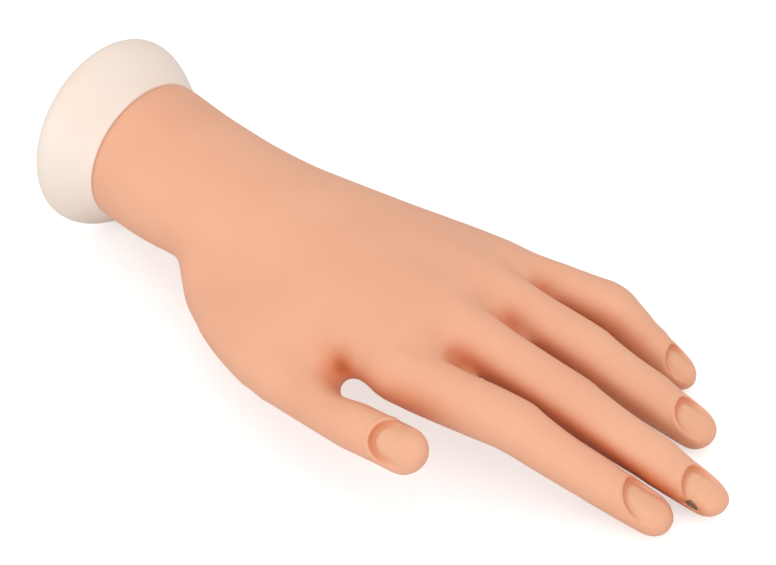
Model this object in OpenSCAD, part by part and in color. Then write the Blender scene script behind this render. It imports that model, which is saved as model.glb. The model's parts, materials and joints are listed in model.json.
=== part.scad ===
// Flexible mannequin hand: a left hand lying palm down on its stand collar and its fingertips.
// The origin is the middle of the collar's flat end face, +X runs to the fingers, +Z is the back of the hand.

/* [Stand collar] */
// Diameter of the collar's rim
collar_d = 68.6; // [60:0.2:90]
// Length of the collar, from its flat end to the skin seam
collar_len = 19.5; // [17:0.5:24]
// Width of the collar where it meets the skin
seam_w = 54; // [48:0.5:60]
// Height of the collar where it meets the skin
seam_h = 49; // [46:0.5:56]
// Length of the rounding of the rim
rim_r = 3; // [1:0.5:4]
// Thickness of the collar's closed end
floor_t = 4; // [3:0.5:6]
// Inner diameter of the collar
cup_d = 34; // [34:0.5:35]
// Outer diameter of the spigot that the skin's neck is pulled over
spigot_d = 38; // [37:0.5:41]
// Length of the spigot past the seam
spigot_len = 12; // [8:1:16]

/* [Wrist post] */
// Diameter of the post
post_d = 20; // [16:0.5:21]
// Distance of the post's end from the collar's flat end
post_end = 66; // [60:0.5:67]
// Clearance of the post's foot in the collar
foot_play = 0.3; // [0.2:0.05:1]
// Thickness of the post's foot
foot_t = 5; // [4:0.5:7]
// Wall of the socket round the post
socket_wall = 4; // [3:0.5:4.5]
// Length of the socket
socket_len = 16; // [14:0.5:17]

/* [Screws and pins] */
// Shank diameter of the screws
screw_d = 3; // [2:0.1:3.2]
// Head diameter of the screws
head_d = 6; // [5:0.1:6.4]
// Head height of the screws
head_t = 2; // [1.5:0.1:2.5]
// Distance of the collar screws from the edge of the post's foot
screw_edge = 3.7; // [3.4:0.1:4.2]
// Diameter of the hinge pins
pin_d = 2; // [1.6:0.1:2.4]
// Running clearance of a pin or screw in its holes
pin_play = 0.05; // [0.03:0.01:0.1]

/* [Bones] */
// Diameter of the round ends of the bones
eye_d = 6.4; // [6:0.1:6.6]
// Thickness of the inner tongue of a hinge
tongue_t = 3; // [2.6:0.1:3.1]
// Thickness of each cheek of a hinge
cheek_t = 1.5; // [1.3:0.1:1.6]
// Side play between tongue and cheek
side_play = 0.1; // [0.05:0.01:0.15]
// Distance from a pin to the full bar
neck_len = 4.3; // [4.1:0.1:4.8]
// Height of the bars
bar_h = 5.2; // [4.6:0.1:5.6]
// Gap between a bone and the skin round it
skin_gap = 0.3; // [0.25:0.05:0.5]
// Gap between neighbouring skin sections and the fold between them
fold_gap = 0.25; // [0.2:0.05:0.3]
// Half thickness of a fold at the pin
fold_t = 0.3; // [0.25:0.05:0.5]

/* [Bends] */
// How far the knuckles bend down from rest
knuckle_flex_angle = 80; // [60:1:84]
// How far the knuckles lift from rest
knuckle_lift_angle = 15; // [5:1:20]
// How far the middle joints of the fingers bend from straight
middle_flex_angle = 88; // [60:1:88]
// How far the thumb's knuckle bends from rest
thumb_flex_angle = 65; // [50:1:70]
// How far the end joints bend from rest
end_flex_angle = 55; // [40:1:60]
// How far the middle and end joints bend back from rest
back_bend_angle = 4; // [2:1:8]
// How far the thumb's base swings down
thumb_swing_angle = 30; // [20:1:35]

/* [Wrist and palm] */
// Distance of the narrowest place of the wrist from the collar's flat end
wrist_x = 60; // [52:1:66]
// Sideways place of the wrist's middle
wrist_y = -3.2; // [-5:0.1:0]
// Height of the wrist's middle
wrist_z = 1; // [0:0.1:3]
// Width of the wrist
wrist_w = 53; // [46:0.5:60]
// Thickness of the wrist above its middle, and below it
wrist_ts = [19, 19.5]; // [17:0.5:24]
// Flesh above the knuckle pins, and below them
knuckle_ts = [10.6, 12.5]; // [9:0.5:16]
// Length of the webs past the middle knuckle pin
web_len = 6.5; // [5:0.5:9]
// Thickness of the palm frame's plate
plate_t = 9; // [8:0.5:9.5]
// Height of the plate's underside
plate_z = -2.5; // [-4:0.5:-2]
// Skin left between the palm frame and the notches that the fingers bend into
skin_cover = 1.5; // [1:0.1:2]

/* [Index finger] */
// Distance of the knuckle pin from the collar's end
index_x = 152; // [148:0.5:155]
// Sideways place of the knuckle pin
index_y = -32.7; // [-35:0.1:-31]
// Height of the knuckle pin
index_z = 6.5; // [5:0.1:8]
// Turn of the finger towards the little finger
index_turn_angle = 18.8; // [17:0.2:19.4]
// Slopes of the three bones
index_slope_angles = [15.2, 27.6, 29.6]; // [10:0.1:40]
// Lengths of the three bones, the last one to the middle of the fingertip
index_bones = [39, 29.5, 20.5]; // [17:0.5:42]
// Widths at the knuckle, middle joint, end joint and tip
index_widths = [19, 16.6, 14.3, 13.6]; // [13:0.1:20]
// Length and width of the nail bed
index_nail = [13, 10.2]; // [8:0.1:14]

/* [Middle finger] */
// Distance of the knuckle pin from the collar's end
middle_x = 154; // [151:0.5:158]
// Sideways place of the knuckle pin
middle_y = -6.7; // [-7.4:0.1:-5]
// Height of the knuckle pin
middle_z = 7.2; // [5:0.1:9]
// Turn of the finger towards the little finger
middle_turn_angle = 11.8; // [11.4:0.2:14]
// Slopes of the three bones
middle_slope_angles = [19.9, 23, 24.4]; // [10:0.1:40]
// Lengths of the three bones, the last one to the middle of the fingertip
middle_bones = [43, 31, 19]; // [17:0.5:46]
// Widths at the knuckle, middle joint, end joint and tip
middle_widths = [18.6, 16.2, 14.8, 13.8]; // [13:0.1:20]
// Length and width of the nail bed
middle_nail = [13, 10.4]; // [8:0.1:14]

/* [Ring finger] */
// Distance of the knuckle pin from the collar's end
ring_x = 153; // [150:0.5:157]
// Sideways place of the knuckle pin
ring_y = 14.5; // [13.5:0.1:15]
// Height of the knuckle pin
ring_z = 4.5; // [3:0.1:6]
// Turn of the finger towards the little finger
ring_turn_angle = 14; // [12:0.2:16]
// Slopes of the three bones
ring_slope_angles = [21.1, 27, 26.5]; // [10:0.1:40]
// Lengths of the three bones, the last one to the middle of the fingertip
ring_bones = [36, 24, 18.5]; // [16:0.5:40]
// Widths at the knuckle, middle joint, end joint and tip
ring_widths = [17.2, 15.4, 14.2, 13.4]; // [12.6:0.1:18]
// Length and width of the nail bed
ring_nail = [12.4, 10]; // [8:0.1:14]

/* [Little finger] */
// Distance of the knuckle pin from the collar's end
little_x = 149; // [146:0.5:153]
// Sideways place of the knuckle pin
little_y = 33; // [32.5:0.1:36]
// Height of the knuckle pin
little_z = -1.8; // [-3:0.1:0]
// Turn of the finger towards the little finger's side
little_turn_angle = 15; // [13:0.2:18]
// Slopes of the three bones
little_slope_angles = [14, 37, 33]; // [10:0.1:45]
// Lengths of the three bones, the last one to the middle of the fingertip
little_bones = [34.5, 17, 15]; // [14:0.5:38]
// Widths at the knuckle, middle joint, end joint and tip
little_widths = [15.2, 14.6, 12.4, 11.6]; // [11.4:0.1:16]
// Length and width of the nail bed
little_nail = [10.6, 8.4]; // [7:0.1:12]

/* [Thumb] */
// Distance of the thumb's base pin from the collar's end
thumb_x = 77; // [74:0.5:80]
// Sideways place of the thumb's base pin
thumb_y = -27; // [-29:0.1:-26]
// Height of the thumb's base pin
thumb_z = -9; // [-11:0.1:-8]
// Turns of the three bones towards the fingers
thumb_turn_angles = [-25.2, -8.6, -0.2]; // [-30:0.2:10]
// Slopes of the three bones
thumb_slope_angles = [-5.7, -8.4, -4.7]; // [-10:0.1:10]
// Lengths of the three bones, the last one to the middle of the tip
thumb_bones = [46.3, 32.5, 20.1]; // [17:0.1:50]
// Widths at the base, knuckle, end joint and tip
thumb_widths = [24, 19.8, 16.4, 15]; // [14:0.1:26]
// Flesh between the thumb's first bone and the palm
thumb_inner = 9.2; // [8:0.1:9.4]
// Length and width of the nail bed
thumb_nail = [14.4, 12]; // [8:0.1:15]

/* [Nail beds] */
// Thickness of the nail beds
nail_t = 1.2; // [0.8:0.1:1.4]

/* [Hidden] */
DIGITS = ["index", "middle", "ring", "little", "thumb"];
DIGIT_PARTS = [
    "first_bone", "first_skin", "middle_bone", "middle_skin", "hinge_pins",
    "skin_folds", "tip_bone", "tip_skin", "nail_bed"
];
$fn = 48;
// Overrun of a cut past the surface that it opens
overrun = 1;
// Largest reach of a cut that clears a whole side
reach = collar_d;

// Colours
SKIN = "#EDB096";
NAIL = "#EDB491";
BONE = "#D9D2C4";
COLLAR = "#F4E6DC";
STEEL = "silver";

// Rows of the digits, and what each row holds
INDEX = 0;
MIDDLE = 1;
RING = 2;
LITTLE = 3;
THUMB = 4;
// Turn of the thumb's nail and hinges about its length, a whole number of ring steps
thumb_roll_angle = 45;
rows = [
    [
        [index_x, index_y, index_z], index_turn_angle * [1, 1, 1], index_slope_angles,
        index_bones, index_widths, index_nail
    ],
    [
        [middle_x, middle_y, middle_z], middle_turn_angle * [1, 1, 1], middle_slope_angles,
        middle_bones, middle_widths, middle_nail
    ],
    [
        [ring_x, ring_y, ring_z], ring_turn_angle * [1, 1, 1], ring_slope_angles,
        ring_bones, ring_widths, ring_nail
    ],
    [
        [little_x, little_y, little_z], little_turn_angle * [1, 1, 1], little_slope_angles,
        little_bones, little_widths, little_nail
    ],
    [
        [thumb_x, thumb_y, thumb_z], thumb_turn_angles, thumb_slope_angles,
        thumb_bones, thumb_widths, thumb_nail
    ]
];
function turn(d, i) = rows[d][1][i];
function slope(d, i) = rows[d][2][i];
function roll(d, i) = d == THUMB && i > 0 ? thumb_roll_angle : 0;
function bone(d, i) = rows[d][3][i];
function wide(d, i) = rows[d][4][i];
function nail_l(d) = rows[d][5][0];
function nail_w(d) = rows[d][5][1];

// Axes of a bone: along it, to its left and to its back
function along(d, i) = [
    cos(slope(d, i)) * cos(turn(d, i)),
    cos(slope(d, i)) * sin(turn(d, i)),
    -sin(slope(d, i))
];
function flat_left(d, i) = [-sin(turn(d, i)), cos(turn(d, i)), 0];
function flat_back(d, i) = cross(along(d, i), flat_left(d, i));
function left(d, i) = cos(roll(d, i)) * flat_left(d, i) + sin(roll(d, i)) * flat_back(d, i);
function back(d, i) = cos(roll(d, i)) * flat_back(d, i) - sin(roll(d, i)) * flat_left(d, i);
// Place of a bone's pin
function pin_at(d, i) = i == 0 ? rows[d][0] : pin_at(d, i - 1) + bone(d, i - 1) * along(d, i - 1);

// Puts a shape at a bone's pin, along the bone
module at_bone(d, i) {
    translate(pin_at(d, i))
        rotate([0, 0, turn(d, i)])
            rotate([0, slope(d, i), 0])
                rotate([roll(d, i), 0, 0])
                    children();
}

// Puts a shape at a digit's first pin, turned as the digit but level
module at_knuckle(d) {
    translate(pin_at(d, 0))
        rotate([0, 0, turn(d, 0)])
            children();
}

// Step from a digit's first pin, turned as the digit but level
function on_level(d, x, y, z) = x * [cos(turn(d, 0)), sin(turn(d, 0)), 0] + y * flat_left(d, 0) + [0, 0, z];

// How far each joint bends, and how far it bends back
function flex(d, i) = i == 2 ? end_flex_angle
    : i == 1 ? (d == THUMB ? thumb_flex_angle : middle_flex_angle - slope(d, 1) + slope(d, 0))
    : d == THUMB ? thumb_swing_angle : knuckle_flex_angle;
function lift(d, i) = i > 0 ? back_bend_angle : d == THUMB ? 0 : knuckle_lift_angle;
// Spare angle on each side of a bend
spare_angle = 0.8;

// Rings
// Sides of a ring round a digit
sides = 24;
function angles(n) = [for (k = [0:n - 1]) 360 * k / n];
function mix(a, b, s) = a + (b - a) * s;
function oval(size, t) = [
    cos(t) * (cos(t) < 0 ? size[0] : size[1]),
    sin(t) * (sin(t) < 0 ? size[3] : size[2])
];
function boxed(t) = [cos(t), sin(t)] / max(abs(cos(t)), abs(sin(t)));

// Half the size of the bones, and of the channel that holds them
hinge_w = tongue_t + 2 * side_play + 2 * cheek_t;
channel_y = hinge_w / 2 + skin_gap;
channel_z = eye_d / 2 + skin_gap;
// Round channel of the thumb, which takes the turned hinge
channel_r = norm([hinge_w, eye_d]) / 2 + skin_gap;
function channel(d, t) = d == THUMB
    ? channel_r * [cos(t), sin(t)]
    : [boxed(t)[0] * channel_y, boxed(t)[1] * channel_z];

// Bend of a finger's joint at rest, on one side of its middle plane
function rest_bend(d, i) = i == 0 || d == THUMB ? 0 : (slope(d, i) - slope(d, i - 1)) / 2;
// Opening of a bend on one side of its middle plane, at a height over the pin
function opening(d, i, z, gap) = let (r = rest_bend(d, i)) fold_t + gap
    + (z < 0 ? -z * (tan(flex(d, i) / 2 + spare_angle + r) - tan(r))
             : z * (tan(lift(d, i) / 2 + spare_angle - r) + tan(r)));
// Place of the middle plane of a bend, in the frame of bone i, towards bone j
function middle_plane(d, i, j, y, z) = let (
    v = along(d, j),
    n = [v * along(d, i) + 1, v * left(d, i), v * back(d, i)]
) -(n[1] * y + n[2] * z) / n[0];
function lead_x(d, i, p, gap) = opening(d, i, p[1], gap)
    + (i == 0 ? 0 : middle_plane(d, i, i - 1, p[0], p[1]));
function tail_x(d, i, p, gap) = let (
    dr = roll(d, i + 1) - roll(d, i),
    z = cos(dr) * p[1] - sin(dr) * p[0]
) bone(d, i) + middle_plane(d, i, i + 1, p[0], p[1]) - opening(d, i + 1, z, gap);

// Closed tube between outer and inner rings of equal count, open at both ends or ending in a tip
function ring_skin(a, n, flip) = [
    for (k = [0:n - 1]) let (
        p = a + k,
        q = a + (k + 1) % n,
        r = p + n,
        s = q + n
    ) each flip ? [[p, q, s], [p, s, r]] : [[p, r, s], [p, s, q]]
];
function ring_cap(a, b, n) = [
    for (k = [0:n - 1]) let (
        p = a + k,
        q = a + (k + 1) % n,
        r = b + k,
        s = b + (k + 1) % n
    ) each [[p, q, s], [p, s, r]]
];
function fan(a, n, tip) = [for (k = [0:n - 1]) [a + k, tip, a + (k + 1) % n]];
function back_fan(a, n, tip) = [for (k = [0:n - 1]) [a + k, a + (k + 1) % n, tip]];
module tube(outer, inner, tips) {
    n = len(outer[0]);
    m = len(outer);
    first_inner = m * n;
    last_inner = first_inner + (len(inner) - 1) * n;
    ends = first_inner + len(inner) * n;
    points = concat([for (r = concat(outer, inner)) each r], tips);
    faces = concat(
        [for (k = [0:m - 2]) each ring_skin(k * n, n, false)],
        [for (k = [0:len(inner) - 2]) each ring_skin(first_inner + k * n, n, true)],
        ring_cap(0, first_inner, n),
        len(tips) == 0
            ? ring_cap(last_inner, (m - 1) * n, n)
            : concat(fan((m - 1) * n, n, ends), back_fan(last_inner, n, ends + 1))
    );
    polyhedron(points = points, faces = faces, convexity = 4);
}

// Solid between rings of equal, even count, with ends of upright strips
function strip_cap(n) = [
    for (k = [0:n / 2 - 1]) each concat(
        k < n / 2 - 1 ? [[k, k + 1, n - k - 1]] : [],
        k > 0 ? [[k, n - k - 1, n - k]] : []
    )
];
module loft(rings) {
    n = len(rings[0]);
    m = len(rings);
    faces = concat(
        [for (k = [0:m - 2]) each ring_skin(k * n, n, false)],
        strip_cap(n),
        [for (f = strip_cap(n)) (m - 1) * n * [1, 1, 1] + [f[2], f[1], f[0]]]
    );
    polyhedron(points = [for (r = rings) each r], faces = faces, convexity = 6);
}

// Sizes of the skin round the bones: right, left, back and palm side, from a width
back_share = 0.95;
palm_share = 1;
tip_back_share = 0.8;
thumb_outer_share = 1.08;
thumb_back_share = 0.8;
thumb_bulge_share = 0.14;
function thumb_size(w, s) = let (
    bulge = 1 + thumb_bulge_share * sin(180 * s)
) [
    w / 2 * thumb_outer_share * bulge,
    mix(thumb_inner, w / 2, s),
    w / 2 * mix(thumb_back_share, 1, s),
    w / 2 * thumb_outer_share * bulge
];
// Waist of a finger section, and swell of its pad
waist_share = 0.025;
pad_share = 0.05;
function section_size(d, i, s) = let (
    w = mix(wide(d, i), wide(d, i + 1), s)
) d == THUMB && i == 0
    ? (s == 1 ? w / 2 * [1, 1, 1, 1] : thumb_size(w, s))
    : d == THUMB && s == 0 ? w / 2 * [1, 1, 1, 1] : [
        w / 2 * (1 - waist_share * sin(180 * s)),
        w / 2 * (1 - waist_share * sin(180 * s)),
        w / 2 * mix(start_back(d, i), back_share, s),
        w / 2 * (palm_share + pad_share * sin(180 * s))
    ];
function start_back(d, i) = d == THUMB && i == 1 ? 1 : back_share;

// Skin section round bone 0 or 1 of a digit
section_shares = [0, 0.25, 0.5, 0.75, 1];
module section_skin(d, i) {
    outer = [
        for (s = section_shares) [
            for (t = angles(sides)) let (p = oval(section_size(d, i, s), t))
                [mix(lead_x(d, i, p, fold_gap), tail_x(d, i, p, fold_gap), s), p[0], p[1]]
        ]
    ];
    inner = [
        for (s = [0, 1]) [
            for (t = angles(sides)) let (p = channel(d, t))
                [mix(lead_x(d, i, p, fold_gap), tail_x(d, i, p, fold_gap), s), p[0], p[1]]
        ]
    ];
    color(SKIN) at_bone(d, i) tube(outer, inner, []);
}

// Fold between the skin sections before and after joint i
module skin_fold(d, i) {
    size = section_size(d, i, 0);
    dr = i == 0 ? 0 : roll(d, i) - roll(d, i - 1);
    function before(p) = i == 0
        ? p[0] * left(d, 0) + p[1] * back(d, 0) - opening(d, 0, p[1], 0) * along(d, 0)
        : let (
            y = cos(dr) * p[0] - sin(dr) * p[1],
            z = sin(dr) * p[0] + cos(dr) * p[1],
            x = middle_plane(d, i - 1, i, y, z) - opening(d, i, p[1], 0)
        ) x * along(d, i - 1) + y * left(d, i - 1) + z * back(d, i - 1);
    function bore_before(p) = i == 0 && d != THUMB && p[1] < 0
        ? on_level(d, -opening(d, 0, p[1], 0), p[0], p[1])
        : before(p);
    function after(p) = p[0] * left(d, i) + p[1] * back(d, i) + lead_x(d, i, p, 0) * along(d, i);
    rim = [for (t = angles(sides)) oval(size, t)];
    bore = [for (t = angles(sides)) channel(d, t)];
    color(SKIN) translate(pin_at(d, i)) tube(
        [[for (p = rim) before(p)], [for (p = rim) after(p)]],
        [[for (p = bore) bore_before(p)], [for (p = bore) after(p)]],
        []
    );
}

// Fingertip skin, with the recess of the nail bed
tip_angles = [0, 28, 52, 72];
tip_shares = [0, 0.3, 0.65];
// Distance from the bone's end to the end of its channel
tip_wall = 3;
function tip_size(d, s) = [
    mix(wide(d, 2), wide(d, 3), s) / 2,
    mix(wide(d, 2), wide(d, 3), s) / 2,
    mix(wide(d, 2) * back_share, wide(d, 3) * tip_back_share, s) / 2,
    mix(wide(d, 2), wide(d, 3), s) / 2 * (palm_share + pad_share * sin(180 * s))
];
module tip_skin(d) {
    r = wide(d, 3) / 2;
    outer = concat(
        [
            for (s = tip_shares) [
                for (t = angles(sides)) let (p = oval(tip_size(d, s), t))
                    [mix(lead_x(d, 2, p, fold_gap), bone(d, 2), s), p[0], p[1]]
            ]
        ],
        [
            for (a = tip_angles) [
                for (t = angles(sides)) let (p = oval(tip_size(d, 1) * cos(a), t))
                    [bone(d, 2) + r * sin(a), p[0], p[1]]
            ]
        ]
    );
    inner = [
        for (s = [0, 1]) [
            for (t = angles(sides)) let (p = channel(d, t))
                [
                    s == 0 ? lead_x(d, 2, p, fold_gap) : tip_end(d) + skin_gap,
                    p[0],
                    p[1] * mix(1, tip_channel_share, s)
                ]
        ]
    ];
    tips = [[bone(d, 2) + r, 0, 0], [tip_end(d) + skin_gap, 0, 0]];
    color(SKIN) at_bone(d, 2) difference() {
        tube(outer, inner, tips);
        nail_recess(d);
    }
}
// The channel narrows towards the tip, under the nail bed
tip_channel_share = 0.75;
function tip_end(d) = bone(d, 2) - tip_wall - nail_t;

// Nail beds: a slice of a tube with an oval outline
nail_curve_share = 0.62;
nail_back_share = 0.78;
nail_slope_angle = 5;
nail_sides = 28;
// Squareness of the nail's outline
nail_square_share = 0.8;
function nail_outline(l, w) = [
    for (t = angles(nail_sides)) [
        l / 2 * sign(cos(t)) * pow(abs(cos(t)), nail_square_share),
        w / 2 * sign(sin(t)) * pow(abs(sin(t)), nail_square_share)
    ]
];
function nail_r(d) = nail_w(d) * nail_curve_share;
// Sinks the nail bed a little under the highest line of the fingertip
nail_sink = 0.3;
nail_middle_share = 0.9;
module at_nail(d) {
    at_z = mix(wide(d, 2) * back_share, wide(d, 3) * tip_back_share, nail_middle_share) / 2 - nail_sink;
    translate([bone(d, 2) + nail_l(d) * (0.5 - nail_back_share), 0, at_z])
        rotate([0, nail_slope_angle, 0])
            children();
}
module nail_recess(d) {
    at_nail(d) intersection() {
        translate([0, 0, -nail_r(d)])
            linear_extrude(2 * nail_r(d))
                polygon(nail_outline(nail_l(d) + 2 * skin_gap, nail_w(d) + 2 * skin_gap));
        difference() {
            translate([-nail_l(d), -nail_w(d), -nail_r(d)])
                cube([2 * nail_l(d), 2 * nail_w(d), 2 * nail_r(d)]);
            translate([-nail_l(d) - overrun, 0, -nail_r(d)])
                rotate([0, 90, 0])
                    cylinder(r = nail_r(d) - nail_t - skin_gap, h = 2 * (nail_l(d) + overrun));
        }
    }
}
module nail_bed(d) {
    color(NAIL) at_bone(d, 2) at_nail(d) intersection() {
        translate([0, 0, -nail_r(d)])
            linear_extrude(2 * nail_r(d))
                polygon(nail_outline(nail_l(d), nail_w(d)));
        translate([-nail_l(d), 0, -nail_r(d)])
            rotate([0, 90, 0])
                difference() {
                    cylinder(r = nail_r(d), h = 2 * nail_l(d));
                    translate([0, 0, -overrun])
                        cylinder(r = nail_r(d) - nail_t, h = 2 * (nail_l(d) + overrun));
                }
    }
}

// Bones: an eye is a round tongue, a fork is a pair of cheeks, both along +X from the pin
slot_len = neck_len - 0.5 * side_play;
module across(r, t) {
    translate([0, t / 2, 0])
        rotate([90, 0, 0])
            cylinder(r = r, h = t);
}
module tongue() {
    across(eye_d / 2, tongue_t);
    translate([0, -tongue_t / 2, -bar_h / 2])
        cube([neck_len + overrun, tongue_t, bar_h]);
}
module eye(bar_len) {
    difference() {
        union() {
            tongue();
            translate([neck_len, -hinge_w / 2, -bar_h / 2])
                cube([bar_len - neck_len, hinge_w, bar_h]);
        }
        across(pin_d / 2 + pin_play, hinge_w + 2 * overrun);
    }
}
module fork(bar_len) {
    difference() {
        union() {
            across(eye_d / 2, hinge_w);
            translate([0, -hinge_w / 2, -bar_h / 2])
                cube([bar_len, hinge_w, bar_h]);
        }
        translate([-eye_d, -tongue_t / 2 - side_play, -eye_d])
            cube([eye_d + slot_len, tongue_t + 2 * side_play, 2 * eye_d]);
        across(pin_d / 2 + pin_play, hinge_w + 2 * overrun);
    }
}
module pin() {
    across(pin_d / 2, hinge_w);
}
// The first bone has an eye at both ends
module first_bone(d) {
    color(BONE) {
        at_bone(d, 0) eye(bone(d, 0) - neck_len - (d == THUMB ? 0 : overrun));
        if (d == THUMB) {
            at_bone(d, 1) rotate([0, 0, 180]) difference() {
                tongue();
                across(pin_d / 2 + pin_play, hinge_w);
            }
        } else {
            at_bone(d, 0) translate([bone(d, 0), 0, 0]) rotate([0, 0, 180]) eye(bone(d, 0) / 2);
        }
    }
}
// The middle bone has a fork at both ends, with its two pins
module middle_bone(d) {
    color(BONE) {
        at_bone(d, 1) fork(bone(d, 1) / 2);
        at_bone(d, 2) rotate([0, 0, 180]) fork(neck_len + 2 * overrun);
        at_bone(d, 1) translate([bone(d, 1) / 2 - overrun, -hinge_w / 2, -bar_h / 2])
            cube([bone(d, 1) / 2 - neck_len, hinge_w, bar_h]);
    }
}
module hinge_pins(d) {
    color(STEEL) for (i = [1, 2]) at_bone(d, i) pin();
}
module tip_bone(d) {
    color(BONE) at_bone(d, 2) difference() {
        eye(tip_end(d));
        translate([neck_len, -hinge_w, bar_h / 2 - nail_t])
            cube([bone(d, 2), 2 * hinge_w, nail_t + overrun]);
    }
}

// Palm frame: a plate with a socket for the post and five forks
// Distance from a knuckle pin to the end of its fork, and to the front of the plate
fork_end = 10.5;
plate_front = 6;
function on_knuckle(d, x, y) = let (p = pin_at(d, 0) + on_level(d, x, y, 0)) [p[0], p[1]];
socket_r = post_d / 2 + socket_wall;
socket_x = post_end + floor_t - socket_len;
module plate_outline() {
    polygon([
        [socket_x + socket_len / 2, -socket_r],
        on_knuckle(THUMB, -plate_front, -hinge_w / 4),
        on_knuckle(THUMB, -plate_front, thumb_side() + skin_cover),
        on_knuckle(INDEX, overrun - fork_end, 0),
        on_knuckle(INDEX, -plate_front, 0),
        on_knuckle(MIDDLE, -plate_front, 0),
        on_knuckle(RING, -plate_front, 0),
        on_knuckle(LITTLE, -plate_front, 0),
        on_knuckle(LITTLE, overrun - fork_end, 0),
        [socket_x + socket_len / 2, socket_r]
    ]);
}
module shank(d) {
    at_knuckle(d) rotate([0, 0, 180]) fork(fork_end);
}
module plate(gap) {
    difference() {
        translate([0, 0, plate_z - gap]) linear_extrude(plate_t + 2 * gap)
            offset(delta = gap) plate_outline();
        for (d = [INDEX, MIDDLE, RING, LITTLE]) bend_room(d, skin_cover);
    }
}
thumb_bracket_h = plate_z + plate_t / 2 - thumb_z;
module palm_frame() {
    color(BONE) difference() {
        union() {
            plate(0);
            for (d = [INDEX, MIDDLE, RING, LITTLE, THUMB]) shank(d);
            at_knuckle(THUMB) translate([-fork_end, -hinge_w / 2, 0])
                cube([fork_end - neck_len, hinge_w, thumb_bracket_h]);
            translate([socket_x, 0, 0]) rotate([0, 90, 0]) cylinder(r = socket_r, h = socket_len);
        }
        translate([socket_x - overrun, 0, 0]) rotate([0, 90, 0])
            cylinder(r = post_d / 2 + pin_play, h = socket_len - floor_t + pin_play + overrun);
        for (a = post_screw_angles) at_post_screw(a)
            cylinder(d = screw_d + 2 * pin_play, h = socket_r + overrun);
    }
}
// Two screws, fanned about the post, hold the socket to it
post_screw_angles = [-40, 40];
post_screw_x = socket_x + socket_len / 4;
post_screw_start = post_d / 4;
module at_post_screw(a) {
    translate([post_screw_x, 0, 0]) rotate([a, 0, 0]) children();
}
module post_screws() {
    color(STEEL) for (a = post_screw_angles) at_post_screw(a) {
        translate([0, 0, post_screw_start])
            cylinder(d = screw_d, h = socket_r + head_t / 2 - post_screw_start);
        translate([0, 0, socket_r + pin_play]) cylinder(d = head_d, h = head_t);
    }
}
module knuckle_pins() {
    color(STEEL) for (d = [INDEX, MIDDLE, RING, LITTLE, THUMB]) at_knuckle(d) pin();
}

// Stand: post, collar and screws
foot_d = cup_d - 2 * foot_play;
screw_ring_r = foot_d / 2 - screw_edge;
collar_screws_n = 3;
screw_angles = [for (k = [0:collar_screws_n - 1]) 90 + 360 * k / collar_screws_n];
collar_screw_end = floor_t + foot_t - overrun;
module wrist_post() {
    color(BONE) difference() {
        union() {
            translate([floor_t, 0, 0]) rotate([0, 90, 0]) cylinder(d = foot_d, h = foot_t);
            translate([floor_t, 0, 0]) rotate([0, 90, 0]) cylinder(d = post_d, h = post_end - floor_t);
        }
        for (a = screw_angles) rotate([a, 0, 0]) translate([0, screw_ring_r, 0]) rotate([0, 90, 0])
            cylinder(d = screw_d + 2 * pin_play, h = collar_screw_end + pin_play);
        for (a = post_screw_angles) at_post_screw(a) translate([0, 0, post_screw_start - pin_play])
            cylinder(d = screw_d + 2 * pin_play, h = post_d);
    }
}
module collar_screws() {
    color(STEEL) for (a = screw_angles) rotate([a, 0, 0]) translate([0, screw_ring_r, 0]) rotate([0, 90, 0]) {
        translate([0, 0, pin_play]) cylinder(d = head_d, h = head_t - pin_play);
        translate([0, 0, head_t / 2]) cylinder(d = screw_d, h = collar_screw_end - head_t / 2);
    }
}
collar_sides = 48;
// Shares of the flare: way from rim to seam, and how much of the narrowing is done there
flare_shares = [[0.1, 0.03], [0.3, 0.22], [0.5, 0.47], [0.7, 0.73], [0.87, 0.92], [1, 1]];
rim_angles = [-62, -35, 0];
module stand_collar() {
    rim = [
        for (a = rim_angles) [
            for (t = angles(collar_sides)) let (r = collar_d / 2 - rim_r * (1 - cos(a)))
                [rim_r * (sin(a) - sin(rim_angles[0])), r * cos(t), r * sin(t)]
        ]
    ];
    start = rim_r * -sin(rim_angles[0]);
    flare = [
        for (f = flare_shares) [
            for (t = angles(collar_sides)) [
                mix(start, collar_len, f[0]),
                mix(collar_d, seam_w, f[1]) / 2 * cos(t),
                mix(collar_d, seam_h, f[1]) / 2 * sin(t)
            ]
        ]
    ];
    color(COLLAR) difference() {
        union() {
            loft(concat(rim, flare));
            translate([floor_t, 0, 0]) rotate([0, 90, 0])
                cylinder(d = spigot_d, h = collar_len + spigot_len - floor_t);
        }
        translate([floor_t, 0, 0]) rotate([0, 90, 0]) cylinder(d = cup_d, h = reach);
        for (a = screw_angles) rotate([a, 0, 0]) translate([0, screw_ring_r, 0]) rotate([0, 90, 0]) {
            translate([0, 0, -overrun]) cylinder(d = head_d + 2 * pin_play, h = head_t + overrun);
            cylinder(d = screw_d + 2 * pin_play, h = floor_t + overrun);
        }
    }
}

// Palm skin
palm_sides = 40;
knuckle_left = little_y + little_widths[0] / 2;
knuckle_right = index_y - index_widths[0] / 2;
palm_y = (knuckle_left + knuckle_right) / 2;
palm_w = knuckle_left - knuckle_right;
palm_z = (middle_z + ring_z) / 2;
palm_tilt = (index_z - little_z) / (little_y - index_y);
palm_arch = palm_z - (index_z + little_z) / 2;
// Station between seam and wrist: way along, and shares of shift, rise, widening and thinning
neck_shares = [0.5, 0.75, 0.33, 0.3, 0.45];
// Stations of the palm: way from wrist to knuckles, share of the widening, share of the arch
palm_shares = [
    [0, 0, 0], [0.19, 0.02, 0.1], [0.4, 0.25, 0.3],
    [0.585, 0.49, 0.55], [0.78, 0.8, 0.8], [0.95, 1, 1]
];
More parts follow.
